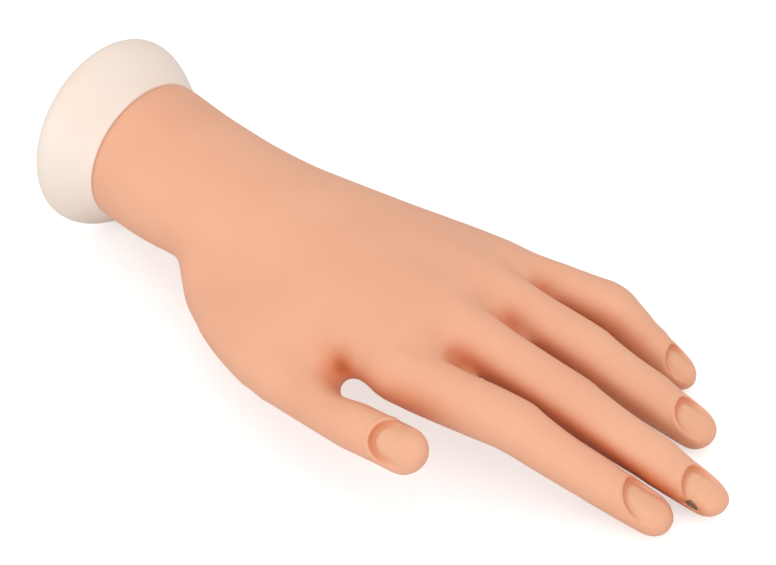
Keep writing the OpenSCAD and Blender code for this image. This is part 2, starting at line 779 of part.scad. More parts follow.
// Stations of the webs: way along the web, share of width and of thickness left
web_shares = [[0.3, 0.93, 0.68], [0.72, 0.87, 0.44], [1, 0.82, 0.22]];
palm_square_share = 0.88;
function palm_ring(x, y, z, w, ts, tilt, arch, power) = [
    for (t = angles(palm_sides)) let (
        side = w / 2 * sign(cos(t)) * pow(abs(cos(t)), power),
        height = (sin(t) < 0 ? ts[1] : ts[0]) * sign(sin(t)) * pow(abs(sin(t)), power)
    ) [x, y + side, z + height - tilt * side - arch * pow(2 * side / w, 2)]
];
function palm_rings() = concat(
    [
        palm_ring(collar_len + fold_gap, 0, 0, seam_w, seam_h / 2 * [1, 1], 0, 0, 1),
        palm_ring(
            mix(collar_len, wrist_x, neck_shares[0]), wrist_y * neck_shares[1], wrist_z * neck_shares[2],
            mix(seam_w, wrist_w, neck_shares[3]), mix(seam_h / 2 * [1, 1], wrist_ts, neck_shares[4]), 0, 0, 1
        )
    ],
    [
        for (s = palm_shares) palm_ring(
            mix(wrist_x, middle_x, s[0]),
            mix(wrist_y, palm_y, s[1]),
            mix(wrist_z, palm_z, s[0]),
            mix(wrist_w, palm_w, s[1]),
            mix(wrist_ts, knuckle_ts, s[0]),
            palm_tilt * s[2],
            palm_arch * s[2],
            mix(1, palm_square_share, s[2])
        )
    ],
    [
        for (s = web_shares) palm_ring(
            middle_x + web_len * s[0], palm_y, palm_z, palm_w * s[1], knuckle_ts * s[2],
            palm_tilt, palm_arch, palm_square_share
        )
    ]
);
// Distance of the palm's wall from the thumb's middle line
function thumb_side() = wide(THUMB, 1) / 2 + skin_gap;
// Room for a digit to bend, between the webs, and a cover round it
module bend_room(d, cover) {
    side = wide(d, 0) / 2 + skin_gap + cover;
    outer_side = d == INDEX || d == THUMB ? reach : side;
    inner_side = d == LITTLE ? reach : d == THUMB ? thumb_side() : side;
    roof = d == THUMB ? wide(d, 0) / 2 + skin_gap : reach;
    root = section_size(d, 0, 0)[3] + skin_gap;
    at_bone(d, 0) translate([-cover, inner_side, 0]) rotate([90, 0, 0])
        linear_extrude(outer_side + inner_side)
            polygon([
                [-opening(d, 0, 0, fold_gap), 0],
                [-opening(d, 0, -root, fold_gap), -root],
                [-opening(d, 0, -root, fold_gap), -reach],
                [reach, -reach],
                [reach, roof],
                [-opening(d, 0, roof, fold_gap), roof]
            ]);
}
// Room for a shank of the palm frame
module shank_room(d) {
    at_knuckle(d) hull() {
        for (x = [-fork_end - skin_gap, eye_d])
            translate([x, -channel_y, -channel_z]) cube([skin_gap, 2 * channel_y, 2 * channel_z]);
    }
}
// Root of the thumb, a rounding from the wrist to the thumb's base
thenar_sides = 32;
module thenar_root() {
    hull() {
        at_bone(THUMB, 0) rotate([0, 90, 0])
            cylinder(r = wide(THUMB, 0) / 2, h = overrun, $fn = thenar_sides);
        translate([wrist_x, thumb_y / 2, thumb_z / 2])
            sphere(r = wide(THUMB, 0) / 2, $fn = thenar_sides);
    }
}
module palm_skin() {
    color(SKIN) difference() {
        union() {
            loft(palm_rings());
            thenar_root();
        }
        for (d = [INDEX, MIDDLE, RING, LITTLE, THUMB]) {
            bend_room(d, 0);
            shank_room(d);
        }
        plate(skin_gap);
        at_knuckle(THUMB) translate([-fork_end - skin_gap, -channel_y, 0])
            cube([fork_end - neck_len + 2 * skin_gap, 2 * channel_y, thumb_bracket_h + skin_gap]);
        rotate([0, 90, 0]) cylinder(r = spigot_d / 2 + skin_gap, h = collar_len + spigot_len + skin_gap);
        rotate([0, 90, 0]) cylinder(r = post_d / 2 + skin_gap, h = socket_x);
        translate([socket_x - skin_gap, 0, 0]) rotate([0, 90, 0])
            cylinder(r = socket_r + skin_gap, h = socket_len + 2 * skin_gap);
        for (a = post_screw_angles) at_post_screw(a)
            cylinder(d = head_d + 2 * skin_gap, h = socket_r + head_t + skin_gap);
    }
}
module knuckle_folds() {
    for (d = [INDEX, MIDDLE, RING, LITTLE, THUMB]) skin_fold(d, 0);
}

stand_collar();
collar_screws();
wrist_post();
post_screws();
palm_frame();
knuckle_pins();
palm_skin();
knuckle_folds();
for (d = [INDEX, MIDDLE, RING, LITTLE, THUMB]) {
    first_bone(d);
    section_skin(d, 0);
    middle_bone(d);
    section_skin(d, 1);
    hinge_pins(d);
    for (i = [1, 2]) skin_fold(d, i);
    tip_bone(d);
    tip_skin(d);
    nail_bed(d);
}
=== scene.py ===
"""Flexible mannequin hand: a soft skin over a jointed skeleton, on a stand collar."""

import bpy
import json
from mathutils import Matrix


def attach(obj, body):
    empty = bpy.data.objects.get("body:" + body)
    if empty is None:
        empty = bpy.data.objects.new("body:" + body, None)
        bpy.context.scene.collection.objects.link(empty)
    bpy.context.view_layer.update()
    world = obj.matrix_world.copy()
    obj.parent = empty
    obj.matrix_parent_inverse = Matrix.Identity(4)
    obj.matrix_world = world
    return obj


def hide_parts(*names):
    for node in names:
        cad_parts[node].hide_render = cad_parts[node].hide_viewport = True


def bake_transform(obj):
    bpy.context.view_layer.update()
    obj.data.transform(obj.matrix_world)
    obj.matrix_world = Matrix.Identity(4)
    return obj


bl_info = {
    "name": "Flexible mannequin hand",
    "version": (1, 0, 0),
    "blender": (4, 5, 0),
    "location": "3D View > Sidebar > Hand",
    "description": "Skin, nail beds, stand collar, skeleton finishes and stage of a mannequin hand",
    "category": "Add Mesh",
}

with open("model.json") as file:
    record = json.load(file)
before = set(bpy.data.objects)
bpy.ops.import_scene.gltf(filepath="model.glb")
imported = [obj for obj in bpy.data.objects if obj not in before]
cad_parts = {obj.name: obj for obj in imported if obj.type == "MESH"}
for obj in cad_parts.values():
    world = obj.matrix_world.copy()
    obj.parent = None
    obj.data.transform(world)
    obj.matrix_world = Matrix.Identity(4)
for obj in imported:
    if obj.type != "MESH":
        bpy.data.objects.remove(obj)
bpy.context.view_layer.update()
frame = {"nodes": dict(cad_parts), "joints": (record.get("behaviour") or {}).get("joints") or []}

import json
import math

import bmesh
import bpy
from bpy.props import FloatProperty, FloatVectorProperty, PointerProperty
from mathutils import Matrix, Vector
from mathutils.bvhtree import BVHTree

# One millimetre in metres; every other length here is in millimetres
MM = 0.001
# Bottom of the gap between thumb and index finger, where the thumb's web ends
WEB_BOTTOM = Vector((139.9, -41.7, 0))
# Middle of that gap's round end, which is pressed wider
OPENING = Vector((143, -42.8, 1.5))
# The hollow above that end
POCKET = Vector((138.5, -40.5, 5.0))
# Line along the side of the index finger that faces the thumb, where shade is painted into the skin
INDEX_SIDE = (Vector((138, -42, 2)), Vector((164, -39, 0)))
# Line along the valley between thumb and palm
VALLEY = (Vector((84, -28, 4)), Vector((134, -38, 2)))
# Where the flesh of the thumb starts, by the wrist
THUMB_ROOT = Vector((54, -12, -3))
FINGERS = ("index", "middle", "ring", "little")
DIGITS = FINGERS + ("thumb",)
JOINTS = {j["name"]: j for j in frame["joints"]}
UP = Vector((0, 0, 1))


def clamp(t):
    return max(0.0, min(1.0, t))


def mix(a, b, t):
    return a + (b - a) * t


def ease(a, b, t):
    """0 before a, 1 after b, and smooth between them."""
    t = clamp((t - a) / (b - a))
    return t * t * (3 - 2 * t)


def bell(t, width):
    return math.exp(-((t / width) ** 2))


def signed_power(value, power):
    return math.copysign(abs(value) ** power, value)


def circle(count):
    """Cosine and sine of evenly spaced angles."""
    for k in range(count):
        angle = 2 * math.pi * k / count
        yield math.cos(angle), math.sin(angle)


# Width of each digit at knuckle, middle joint, end joint and tip, in millimetres
WIDTHS = dict(
    index=(19.0, 16.6, 14.3, 13.6),
    middle=(18.6, 16.2, 14.8, 13.8),
    ring=(17.2, 15.4, 14.2, 13.4),
    little=(15.2, 14.6, 12.4, 11.6),
    thumb=(24.0, 19.8, 16.4, 15.0),
)
# The three bones of each digit: length to the next pin or to the rounding of the tip, degrees that it points
# down, and degrees that it turns to the left
BONE_SHAPES = dict(
    index=((39.0, 15.2, 18.8), (29.5, 27.6, 18.8), (20.5, 29.6, 18.8)),
    middle=((43.0, 19.9, 11.8), (31.0, 23.0, 11.8), (19.0, 24.4, 11.8)),
    ring=((36.0, 21.1, 14.0), (24.0, 27.0, 14.0), (18.5, 26.5, 14.0)),
    little=((34.5, 14.0, 15.0), (17.0, 37.0, 15.0), (15.0, 33.0, 15.0)),
    thumb=((46.3, -5.7, -25.2), (32.5, -8.4, -8.6), (20.1, -4.7, -0.2)),
)
# Nail beds: start and end from the tip bone's end, side place and width
NAILS = dict(
    index=(-14.2, 4.2, -0.9, 11.6),
    middle=(-10.8, 4.6, -2.9, 11.2),
    ring=(-10.9, 4.2, -2.0, 10.6),
    little=(-9.9, 3.6, -0.6, 9.4),
    thumb=(-8.9, 6.4, 0.4, 12.8),
)
# Flesh that the skin has beyond a round bone, at the same four places: to the right, left, back and pad
FLESH = dict(
    index=((0, 0, 0, 0), (0.2, 0, 0, 0.3), (0.9, -0.9, -0.8, 0.8), (0, -0.3, -0.3, 0)),
    middle=((0.3, 0, 0, 0.5), (1.6, -0.8, -0.7, 1.9), (1.6, -1.4, -1.1, 1.5), (1.2, -2.4, -1.2, 0.2)),
    ring=((0.2, 0, 0, 0.5), (1.8, -0.1, 0, 2.0), (2.1, -0.3, -0.3, 2.0), (1.6, -0.9, -0.6, 1.2)),
    little=((0, -1.1, -0.8, 0.3), (0, 2.4, 1.8, 0.5), (0, 1.5, 0.9, 0.3), (0, 0.3, 0, 0)),
    thumb=((0, 0, 0, 0), (0, -0.3, 0, 0), (0.3, -1.7, -0.8, 0), (0, -0.7, -0.4, 0)),
)
# How much slimmer each bone's skin is halfway along, on the left and on the back
WAISTS = dict(
    index=(0.2, 0.8, 0),
    middle=(0.8, 0.6, 0),
    ring=(0.5, 0.5, 0),
    little=(0.5, 0, 0),
    thumb=(0, 0.8, 0.3),
)
# The share of that which the back gets
WAIST_BACK = 0.7
# Degrees that the thumb's last two bones are rolled about their length
THUMB_ROLL = 45.0
# Flesh of the thumb's first bone: bulge and share on right and pad, and where it starts, half width on the
# left and share on the back
THUMB_BALL = (0.14, 1.08, 9.2, 0.8)
# Height of the finger's back and of its pad, as shares of half its width
BACK_SHARE, TIP_BACK_SHARE, PAD_SHARE = 0.95, 0.72, 0.05
# The skin is lofted this much thinner and swelled at the end, so that near neighbours don't melt together
SWELL = 0.45
# Squareness of the nail beds' outline
NAIL_POWER = 2.5
# Reach of a nail's shape from its middle, and the height over the tip bone above which it lies
NAIL_REACH, NAIL_SIDE = 14.0, -2.0


class Bone:
    """One bone of a digit: its pin, its length and its axes along, to the left and to the back."""

    def __init__(self, pin, length, slope, turn, roll):
        self.pin, self.length = pin, length
        level = math.cos(slope)
        self.along = Vector((level * math.cos(turn), level * math.sin(turn), -math.sin(slope)))
        flat = Vector((-math.sin(turn), math.cos(turn), 0))
        back = self.along.cross(flat)
        self.left = flat * math.cos(roll) + back * math.sin(roll)
        self.back = back * math.cos(roll) - flat * math.sin(roll)
        self.flat = Vector((math.cos(turn), math.sin(turn), 0))

    def at(self, x, y=0.0, z=0.0):
        return self.pin + self.along * x + self.left * y + self.back * z

    def local(self, p):
        v = p - self.pin
        return v.dot(self.along), v.dot(self.left), v.dot(self.back)


def bones_of(digit):
    """The digit's three bones, from the pin that joins it to the palm."""
    first = "thumb_base" if digit == "thumb" else f"{digit}_knuckle"
    pin, bones = Vector(JOINTS[first]["pos_m"]) / MM, []
    for i, (length, slope, turn) in enumerate(BONE_SHAPES[digit]):
        roll = THUMB_ROLL if digit == "thumb" and i > 0 else 0.0
        bones.append(Bone(pin, length, *(math.radians(angle) for angle in (slope, turn, roll))))
        pin = bones[-1].at(length)
    return bones


BONES = {d: bones_of(d) for d in DIGITS}


# Mesh helpers
def loft(bm, rings):
    """Skins rings of equal count into one closed shell."""
    loop = bmesh.ops.create_circle(bm, cap_ends=False, segments=len(rings[0]), radius=1.0)["verts"]
    for vert, place in zip(loop, rings[0]):
        vert.co = place
    edges = list(dict.fromkeys(e for v in loop for e in v.link_edges))
    bmesh.ops.edgeloop_fill(bm, edges=edges)
    for ring in rings[1:]:
        grown = bmesh.ops.extrude_edge_only(bm, edges=edges)["geom"]
        fresh = {g for g in grown if isinstance(g, bmesh.types.BMVert)}
        loop = [next(e.other_vert(v) for e in v.link_edges if e.other_vert(v) in fresh) for v in loop]
        for vert, place in zip(loop, ring):
            vert.co = place
        edges = [g for g in grown if isinstance(g, bmesh.types.BMEdge) and all(v in fresh for v in g.verts)]
    bmesh.ops.edgeloop_fill(bm, edges=edges)


def lofted(*shells):
    """A mesh of closed shells, each given by its rings."""
    bm = bmesh.new()
    for rings in shells:
        loft(bm, rings)
    bmesh.ops.recalc_face_normals(bm, faces=bm.faces)
    return bm


def finish_piece(bm, name, material, smooth=True):
    """Makes the mesh an object of the scene, in metres, at the origin."""
    bmesh.ops.scale(bm, vec=(MM, MM, MM), verts=bm.verts)
    for face in bm.faces:
        face.smooth = smooth
    mesh = bpy.data.meshes.new(name)
    bm.to_mesh(mesh)
    bm.free()
    piece = bpy.data.objects.new(name, mesh)
    bpy.context.scene.collection.objects.link(piece)
    mesh.materials.append(material)
    return piece


def apply_modifiers(piece):
    shown = piece.evaluated_get(bpy.context.evaluated_depsgraph_get())
    mesh = bpy.data.meshes.new_from_object(shown)
    piece.modifiers.clear()
    piece.data = mesh


# Shape of the palm
# Stations of the skin's neck, with the columns of palm_table
NECK = ((19.75, 0, 0, 54, 24.5, 24.5, 0, 0, 1), (39.75, -2.4, 0.33, 53.7, 22.0, 22.25, 0, 0, 1))
# The neck turns in a little at the collar: places, and how much smaller it is there
NECK_LIP = ((19.6, 1.2), (19.7, 0.5), (20.1, 0.12))
# The wrist's place, sideways and up, its width and its heights up and down
WRIST = (60, -3.2, 1, 53, 19, 19.5)
# Stations from wrist to knuckles: share of the way, of the change in width, and of the arch
PALM_WAY = (
    (0, 0, 0), (0.19, 0.02, 0.1), (0.4, 0.25, 0.3), (0.585, 0.49, 0.55), (0.78, 0.8, 0.8), (0.95, 1, 1),
)
# Heights up and down at the knuckles, and squareness there
KNUCKLE_UP, KNUCKLE_DOWN, KNUCKLE_POWER = 10.6, 12.5, 0.88
# How far the palm runs on past the knuckles, and its stations there: share of that, of width and of thickness
PALM_PAST, PALM_END = 6.5, ((0.3, 0.93, 0.68), (0.72, 0.87, 0.44), (1, 0.82, 0.22))
# Where the rings start and stop, their distance, and how far the stations are blurred
PALM_START, PALM_STOP, PALM_STEP, BLUR_STOP = 22.0, 160.4, 2.0, 146
BLUR = (-5, -2.5, 0, 2.5, 5)


def lerp_table(rows, x):
    for a, b in zip(rows, rows[1:]):
        if x <= b[0]:
            t = clamp((x - a[0]) / (b[0] - a[0]))
            return tuple(mix(p, q, t) for p, q in zip(a, b))
    return rows[-1]


def palm_table():
    """Stations of the palm: place, sideways and up, width, heights up and down, tilt, arch and squareness."""
    pins = {d: BONES[d][0].pin for d in FINGERS}
    left_side = pins["little"].y + WIDTHS["little"][0] / 2
    right_side = pins["index"].y - WIDTHS["index"][0] / 2
    middle, width = (left_side + right_side) / 2, left_side - right_side
    height = (pins["middle"].z + pins["ring"].z) / 2
    tilt = (pins["index"].z - pins["little"].z) / (pins["little"].y - pins["index"].y)
    arch = height - (pins["index"].z + pins["little"].z) / 2
    knuckles = (pins["middle"].x, middle, height, width, KNUCKLE_UP, KNUCKLE_DOWN)
    rows = list(NECK)
    for way, wider, arched in PALM_WAY:
        shares = (way, wider, way, wider, way, way)
        row = [mix(a, b, share) for a, b, share in zip(WRIST, knuckles, shares)]
        rows.append((*row, tilt * arched, arch * arched, mix(1, KNUCKLE_POWER, arched)))
    for way, wide, thick in PALM_END:
        rows.append((
            knuckles[0] + PALM_PAST * way, middle, height, width * wide,
            KNUCKLE_UP * thick, KNUCKLE_DOWN * thick, tilt, arch, KNUCKLE_POWER,
        ))
    return rows


def palm_ring(row):
    x, y, z, width, up, down, tilt, arch, power = row
    half = width / 2 - SWELL
    ring = []
    for c, s in circle(96):
        side = half * signed_power(c, power)
        rise = ((up if s > 0 else down) - SWELL) * signed_power(s, power)
        ring.append(Vector((x, y + side, z + rise - tilt * side - arch * (side / half) ** 2)))
    return ring


def palm_rings():
    rows = palm_table()
    rings = []
    for x, less in NECK_LIP:
        row = list(lerp_table(rows, x))
        row[0], row[3], row[4], row[5] = x, row[3] - 2 * less, row[4] - less, row[5] - less
        rings.append(palm_ring(row))
    x = PALM_START
    while x < PALM_STOP:
        near = [lerp_table(rows, x + step) for step in BLUR] if x < BLUR_STOP else [lerp_table(rows, x)]
        row = [sum(part) / len(near) for part in zip(*near)]
        row[0] = x
        rings.append(palm_ring(row))
        x += PALM_STEP
    rings.append(palm_ring(rows[-1]))
    return rings


# Shape of the digits
# The thumb's flesh grows to this half width: shares of the way from root to pin, and of the width
THUMB_HALF, THUMB_START = 12.4, ((0, 0.5), (0.25, 0.85), (0.5, 0.98), (0.75, 1.0))
# A finger starts under the palm's skin: distance from its pin, share of its size, and depth
FINGER_START = ((-15, 0.55, 2.6), (-10, 0.74, 1.6), (-5, 0.9, 0.6))
# Steps between the rings along a bone, and degrees of the rings that round off the tip
BONE_STEPS = 7
TIP_ANGLES = (15, 30, 45, 58, 70, 80)


def digit_sizes(digit, i, s):
    """Half sizes to the right, left, back and pad of bone i, a share s along it."""
    w = mix(WIDTHS[digit][i], WIDTHS[digit][i + 1], s) / 2
    swell = math.sin(math.pi * clamp(s))
    if digit == "thumb" and i == 0:
        bulge, more, left_start, back_start = THUMB_BALL
        right = w * more * (1 + bulge * swell)
        return right, mix(left_start, w, s), w * mix(back_start, 1, s), right
    back = BACK_SHARE if i < 2 else mix(BACK_SHARE, TIP_BACK_SHARE, s)
    waist = WAISTS[digit][i] * swell
    sizes = (w, w - waist, w * back - waist * WAIST_BACK, w * (1 + PAD_SHARE * swell))
    more = [mix(a, b, s) for a, b in zip(FLESH[digit][i], FLESH[digit][i + 1])]
    return tuple(a + b for a, b in zip(sizes, more))


def digit_ring(place, along, left, sizes, count=48):
    left = (left - along * left.dot(along)).normalized()
    back = along.cross(left)
    right_half, left_half, back_half, pad_half = (max(s - SWELL, 0.3) for s in sizes)
    ring = []
    for c, s in circle(count):
        y = c * (left_half if c > 0 else right_half)
        z = s * (back_half if s > 0 else pad_half)
        ring.append(place + left * y + back * z)
    return ring


def digit_rings(digit):
    bones, rings = BONES[digit], []
    first = bones[0]
    if digit == "thumb":
        for way, share in THUMB_START:
            place = THUMB_ROOT + (first.pin - THUMB_ROOT) * way
            along = mix(Vector((1, 0, 0)), first.along, way).normalized()
            rings.append(digit_ring(place, along, first.left, [THUMB_HALF * share] * 4))
    else:
        for x, share, sink in FINGER_START:
            sizes = [s * share for s in digit_sizes(digit, 0, 0)]
            rings.append(digit_ring(first.pin + first.flat * x - UP * sink, first.flat, first.left, sizes))
    bend = [min(5.0, 0.3 * b.length) for b in bones]
    for i, bone in enumerate(bones):
        start = 0.0 if i == 0 else bend[i]
        end = bone.length if i == 2 else bone.length - bend[i + 1]
        for k in range(BONE_STEPS + 1):
            x = mix(start, end, k / BONE_STEPS)
            sizes = digit_sizes(digit, i, x / bone.length)
            rings.append(digit_ring(bone.at(x), bone.along, bone.left, sizes))
        if i < 2:
            follow = bones[i + 1]
            a, b, c = bone.at(end), follow.pin, follow.at(bend[i + 1])
            for t in (0.25, 0.5, 0.75):
                place = a * (1 - t) ** 2 + b * 2 * t * (1 - t) + c * t * t
                along = mix(bone.along, follow.along, t).normalized()
                left = mix(bone.left, follow.left, t)
                before, after = digit_sizes(digit, i, 1), digit_sizes(digit, i + 1, 0)
                rings.append(digit_ring(place, along, left, [mix(p, q, t) for p, q in zip(before, after)]))
    tip, reach = bones[2], WIDTHS[digit][3] / 2 - SWELL
    sizes = digit_sizes(digit, 2, 1)
    for angle in TIP_ANGLES:
        a = math.radians(angle)
        shrunk = [(s - SWELL) * math.cos(a) + SWELL for s in sizes]
        rings.append(digit_ring(tip.at(tip.length + reach * math.sin(a)), tip.along, tip.left, shrunk))
    return rings


# Flesh between thumb and palm: place along the thumb and half thickness there, place in the palm and half
# thickness there, and how hollow the flesh is between them
THENAR = (
    (-14, 9.5, (66, -8, 0), 14.0, 0),
    (0, 10.2, (79, -11, 1), 13.5, 0),
    (12, 10.8, (91, -14.5, 2), 12.8, 0),
    (24, 10.8, (102, -18, 3), 12.0, 0),
    (34, 10.5, (111, -20.5, 4), 11.2, 0.2),
    (41, 9.9, (117.5, -22.5, 4.5), 10.4, 0.6),
    (47, 8.8, (123, -26, 4), 9.0, 1.2),
    (51.5, 7.6, (127, -30, 2.4), 7.6, 1.3),
    (55.5, 6.6, (131, -33.8, 1.2), 6.6, 1.2),
    (60, 5.6, (134.3, -36.2, 0.2), 5.4, 1.0),
    (63.4, 4.6, (136.8, -37.8, -0.4), 4.2, 0.7),
    (66, 3.6, (138.7, -38.6, -1.2), 2.8, 0.4),
)
# Web between two fingers: place along it, half width, and height of its top and bottom
FINGER_WEB = (
    (-16, 5, 4.5, -7), (-11, 5.4, 6.4, -8), (-8, 5.4, 6.9, -8.5), (-5, 5.2, 6.6, -9), (-2.5, 4.8, 5.2, -9),
    (-0.5, 4.6, 2.8, -9), (1.5, 4.2, 0, -9), (4, 3.6, -2.4, -9), (7, 3, -4.2, -8.8), (10, 2.4, -5.6, -8.6),
    (12.5, 1.7, -6.8, -8.4), (14, 0.9, -7.2, -8),
)


def thumb_at(x):
    """Place x mm along the thumb from its base pin, or back from it towards the wrist."""
    first, second = BONES["thumb"][:2]
    if x < 0:
        return first.pin + (first.pin - THUMB_ROOT).normalized() * x
    return first.at(x) if x < first.length else second.at(x - first.length)


def bridge_ring(a, a_half, b, b_half, hollow, count=12):
    """A ring that spans two round ends, hollowed on top."""
    across = (b - a).normalized()
    up = (UP - across * across.dot(UP)).normalized()
    ring = []
    for way, end, half, dip in ((1, b, b_half, hollow), (-1, a, a_half, 0)):
        for k in range(count):
            t = k / count if way > 0 else 1 - k / count
            ring.append(a + (b - a) * t + up * way * (mix(a_half, b_half, t) - dip * math.sin(math.pi * t)))
        for k in range(count):
            angle = math.pi * (way * 0.5 - k / count)
            ring.append(end + across * half * math.cos(angle) + up * half * math.sin(angle))
    return ring


def web_rings():
    """Flesh between the thumb and the palm, and between the roots of the fingers."""
    yield [bridge_ring(Vector(palm), thick, thumb_at(x), half, dip) for x, half, palm, thick, dip in THENAR]
    for place, way in crotches():
        left = Vector((-way.y, way.x, 0))
        rings = []
        for x, half, top, bottom in FINGER_WEB:
            middle, rise = place + way * x + UP * (top + bottom) / 2, (top - bottom) / 2
            rings.append(digit_ring(middle, way, left, (half, half, rise, rise), 32))
        yield rings


def whole_hand(voxel):
    """One closed skin over palm, digits and webs."""
    bm = lofted(palm_rings(), *(digit_rings(digit) for digit in DIGITS), *web_rings())
    mesh = bpy.data.meshes.new("whole_hand")
    bm.to_mesh(mesh)
    bm.free()
    whole = bpy.data.objects.new("whole_hand", mesh)
    bpy.context.scene.collection.objects.link(whole)
    remesh = whole.modifiers.new("Remesh", "REMESH")
    remesh.mode, remesh.voxel_size, remesh.use_smooth_shade = "VOXEL", voxel, True
    apply_modifiers(whole)
    bm = bmesh.new()
    bm.from_mesh(whole.data)
    bpy.data.objects.remove(whole)
    return bm


def smooth(bm, verts, times):
    for _ in range(times):
        bmesh.ops.smooth_vert(bm, verts=verts, factor=0.5, use_axis_x=True, use_axis_y=True, use_axis_z=True)


# How far along their first bones the fingers part, and a second place in the gap between them
CROTCH_X, GAP_X = 8, 24


def crotches():
    """Places where neighbouring fingers part, with the direction to the fingers."""
    places = []
    for a, b in zip(FINGERS, FINGERS[1:]):
        p, q = BONES[a][0], BONES[b][0]
        gap_a = p.at(CROTCH_X, WIDTHS[a][0] / 2)
        gap_b = q.at(CROTCH_X, -WIDTHS[b][0] / 2)
        places.append(((gap_a + gap_b) / 2, (p.flat + q.flat).normalized()))
    return places


def middle_of_gap(a, b, x):
    """The place between fingers a and b, x mm along their first bones."""
    p, q = BONES[a][0], BONES[b][0]
    left = digit_sizes(a, 0, x / p.length)[1]
    right = digit_sizes(b, 0, x / q.length)[0]
    return (p.at(x, left) + q.at(x, -right)) / 2


def soften_joints(bm):
    """Rounds the knuckles, the webs between the fingers and the valley by the thumb."""

    def around(places, reach):
        return [v for v in bm.verts if any((v.co - p).length < reach for p in places)]

    def by_valley(reach):
        return [v for v in bm.verts if segment_measure(v.co, *VALLEY)[0] < reach]

    smooth(bm, bm.verts, 6)
    # What is smoothed, and how many times
    rounds = (
        (around([BONES[d][0].at(-8) for d in FINGERS], 19), 25),
        (around([BONES["thumb"][0].at(-6)], 24), 60),
        (around([place for place, _ in crotches()], 16), 30),
        (by_valley(20), 40),
        (by_valley(14), 50),
    )
    for verts, times in rounds:
        smooth(bm, verts, times)
    smooth(bm, around([POCKET], 12), 60)
    smooth(bm, bm.verts, 4)


def swell(bm, amount):
    bm.normal_update()
    moves = [(v, v.normal * amount) for v in bm.verts]
    for vert, move in moves:
        vert.co += move


def nail_frame(digit):
    """The tip bone, and the nail bed's middle along it, side place, length and width."""
    start, end, side, width = NAILS[digit]
    bone = BONES[digit][2]
    return bone, bone.length + (start + end) / 2, side, end - start, width


def nail_measure(digit, p):
    """How far p is outside the nail's outline, its share along the nail, and its height over the bone."""
    bone, middle, side, length, width = nail_frame(digit)
    x, y, z = bone.local(p)
    u, v = (x - middle) / (length / 2), (y - side) / (width / 2)
    q = (abs(u) ** NAIL_POWER + abs(v) ** NAIL_POWER) ** (1 / NAIL_POWER)
    return (q - 1) * width / 2, u, z


def by_nail(digit, p, reach=NAIL_REACH):
    """How far p is outside the nail's outline and its share along it, or None away from the nail."""
    bone, middle = nail_frame(digit)[:2]
    if (p - bone.at(middle)).length > reach:
        return None
    out, u, z = nail_measure(digit, p)
    return (out, u) if z > NAIL_SIDE else None


def nail_shade(digit, p):
    """How much painted shade darkens the fold at the nail's root."""
    found = by_nail(digit, p)
    if not found:
        return 0.0
    out, u = found
    return 0.7 * ease(-2.4, -0.2, out) * (1 - ease(0.0, 0.25, out)) * (1 - ease(-0.8, 0.3, u))


def refine_nails(bm):
    """Finer faces where the nail beds are, and finer again along their rims."""
    for reach, rim_only in ((2.2, False), (1.1, True)):
        edges = set()
        for digit in DIGITS:
            for face in bm.faces:
                found = by_nail(digit, face.calc_center_median())
                if found and (abs(found[0]) if rim_only else found[0]) < reach:
                    edges.update(face.edges)
        bmesh.ops.subdivide_edges(bm, edges=list(edges), cuts=1, use_grid_fill=True)
    bmesh.ops.triangulate(bm, faces=[f for f in bm.faces if len(f.verts) > 4])


def segment_measure(p, a, b):
    """Distance of p from the line from a to b, and its share along it."""
    d = b - a
    t = clamp((p - a).dot(d) / d.length_squared)
    return (p - (a + d * t)).length, t


# Depth or height, and width, of what is pressed into the back of the hand
VALLEY_DEPTH, VALLEY_WIDTH = 0.75, 4.6
TENDON_HEIGHT, TENDON_WIDTH = 0.45, 5.0
OPENING_DEPTH, OPENING_WIDTH = 1.9, 8.0
# Depth of a nail's recess, more along its edge, and height of its rim
BED_DEPTH, EDGE_DEPTH, RIM_HEIGHT = 0.95, 0.45, 0.3
# Where the tendons run together, and the stretch of the hand's back that shows them
TENDONS_MEET, HAND_BACK = Vector((60, -3, 16)), (70, 168)


def press_details(bm):
    """Presses in the valleys, the opening by the thumb and the nail beds, and raises tendons and rims."""
    bm.normal_update()
    valleys, tendons = [], []
    for place, way in crotches():
        top = place + UP * 8
        valleys.append((top - way * 2, top - way * 24 + (TENDONS_MEET - top).normalized() * 6))
    for digit in FINGERS:
        head = BONES[digit][0].pin + UP * 9
        tendons.append((head, head + (TENDONS_MEET - head) * 0.55))
    moves = []
    for vert in bm.verts:
        p, n = vert.co, vert.normal
        push = 0.0
        if HAND_BACK[0] < p.x < HAND_BACK[1] and n.z > 0.1:
            for a, b in valleys:
                d, t = segment_measure(p, a, b)
                push -= VALLEY_DEPTH * bell(d, VALLEY_WIDTH) * (1 - t) ** 1.2
            for a, b in tendons:
                d, t = segment_measure(p, a, b)
                push += TENDON_HEIGHT * bell(d, TENDON_WIDTH) * (1 - t) * n.z
        away = (p - OPENING).length
        if away < 2.25 * OPENING_WIDTH:
            push -= OPENING_DEPTH * bell(away, OPENING_WIDTH)
        for digit in DIGITS:
            found = by_nail(digit, p, NAIL_REACH + 2)
            if found:
                out, u = found
                fade = 1 - ease(-0.4, 0.8, u)
                push -= fade * (BED_DEPTH * (1 - ease(-0.5, 0.05, out)) + EDGE_DEPTH * bell(out + 0.9, 0.9))
                push += RIM_HEIGHT * bell(out - 0.7, 0.7) * (1 - ease(0.3, 0.9, u))
        if push:
            moves.append((vert, n * push))
    for vert, move in moves:
        vert.co += move


def near_digit(digit, p, start=0):
    """Distance of p from the digit's bones, from bone number start on, less its half width there."""
    gaps = []
    for i, bone in enumerate(BONES[digit][start:], start):
        away, t = segment_measure(p, bone.pin, bone.at(bone.length))
        gaps.append(away - mix(WIDTHS[digit][i], WIDTHS[digit][i + 1], t) / 2)
    return min(gaps)
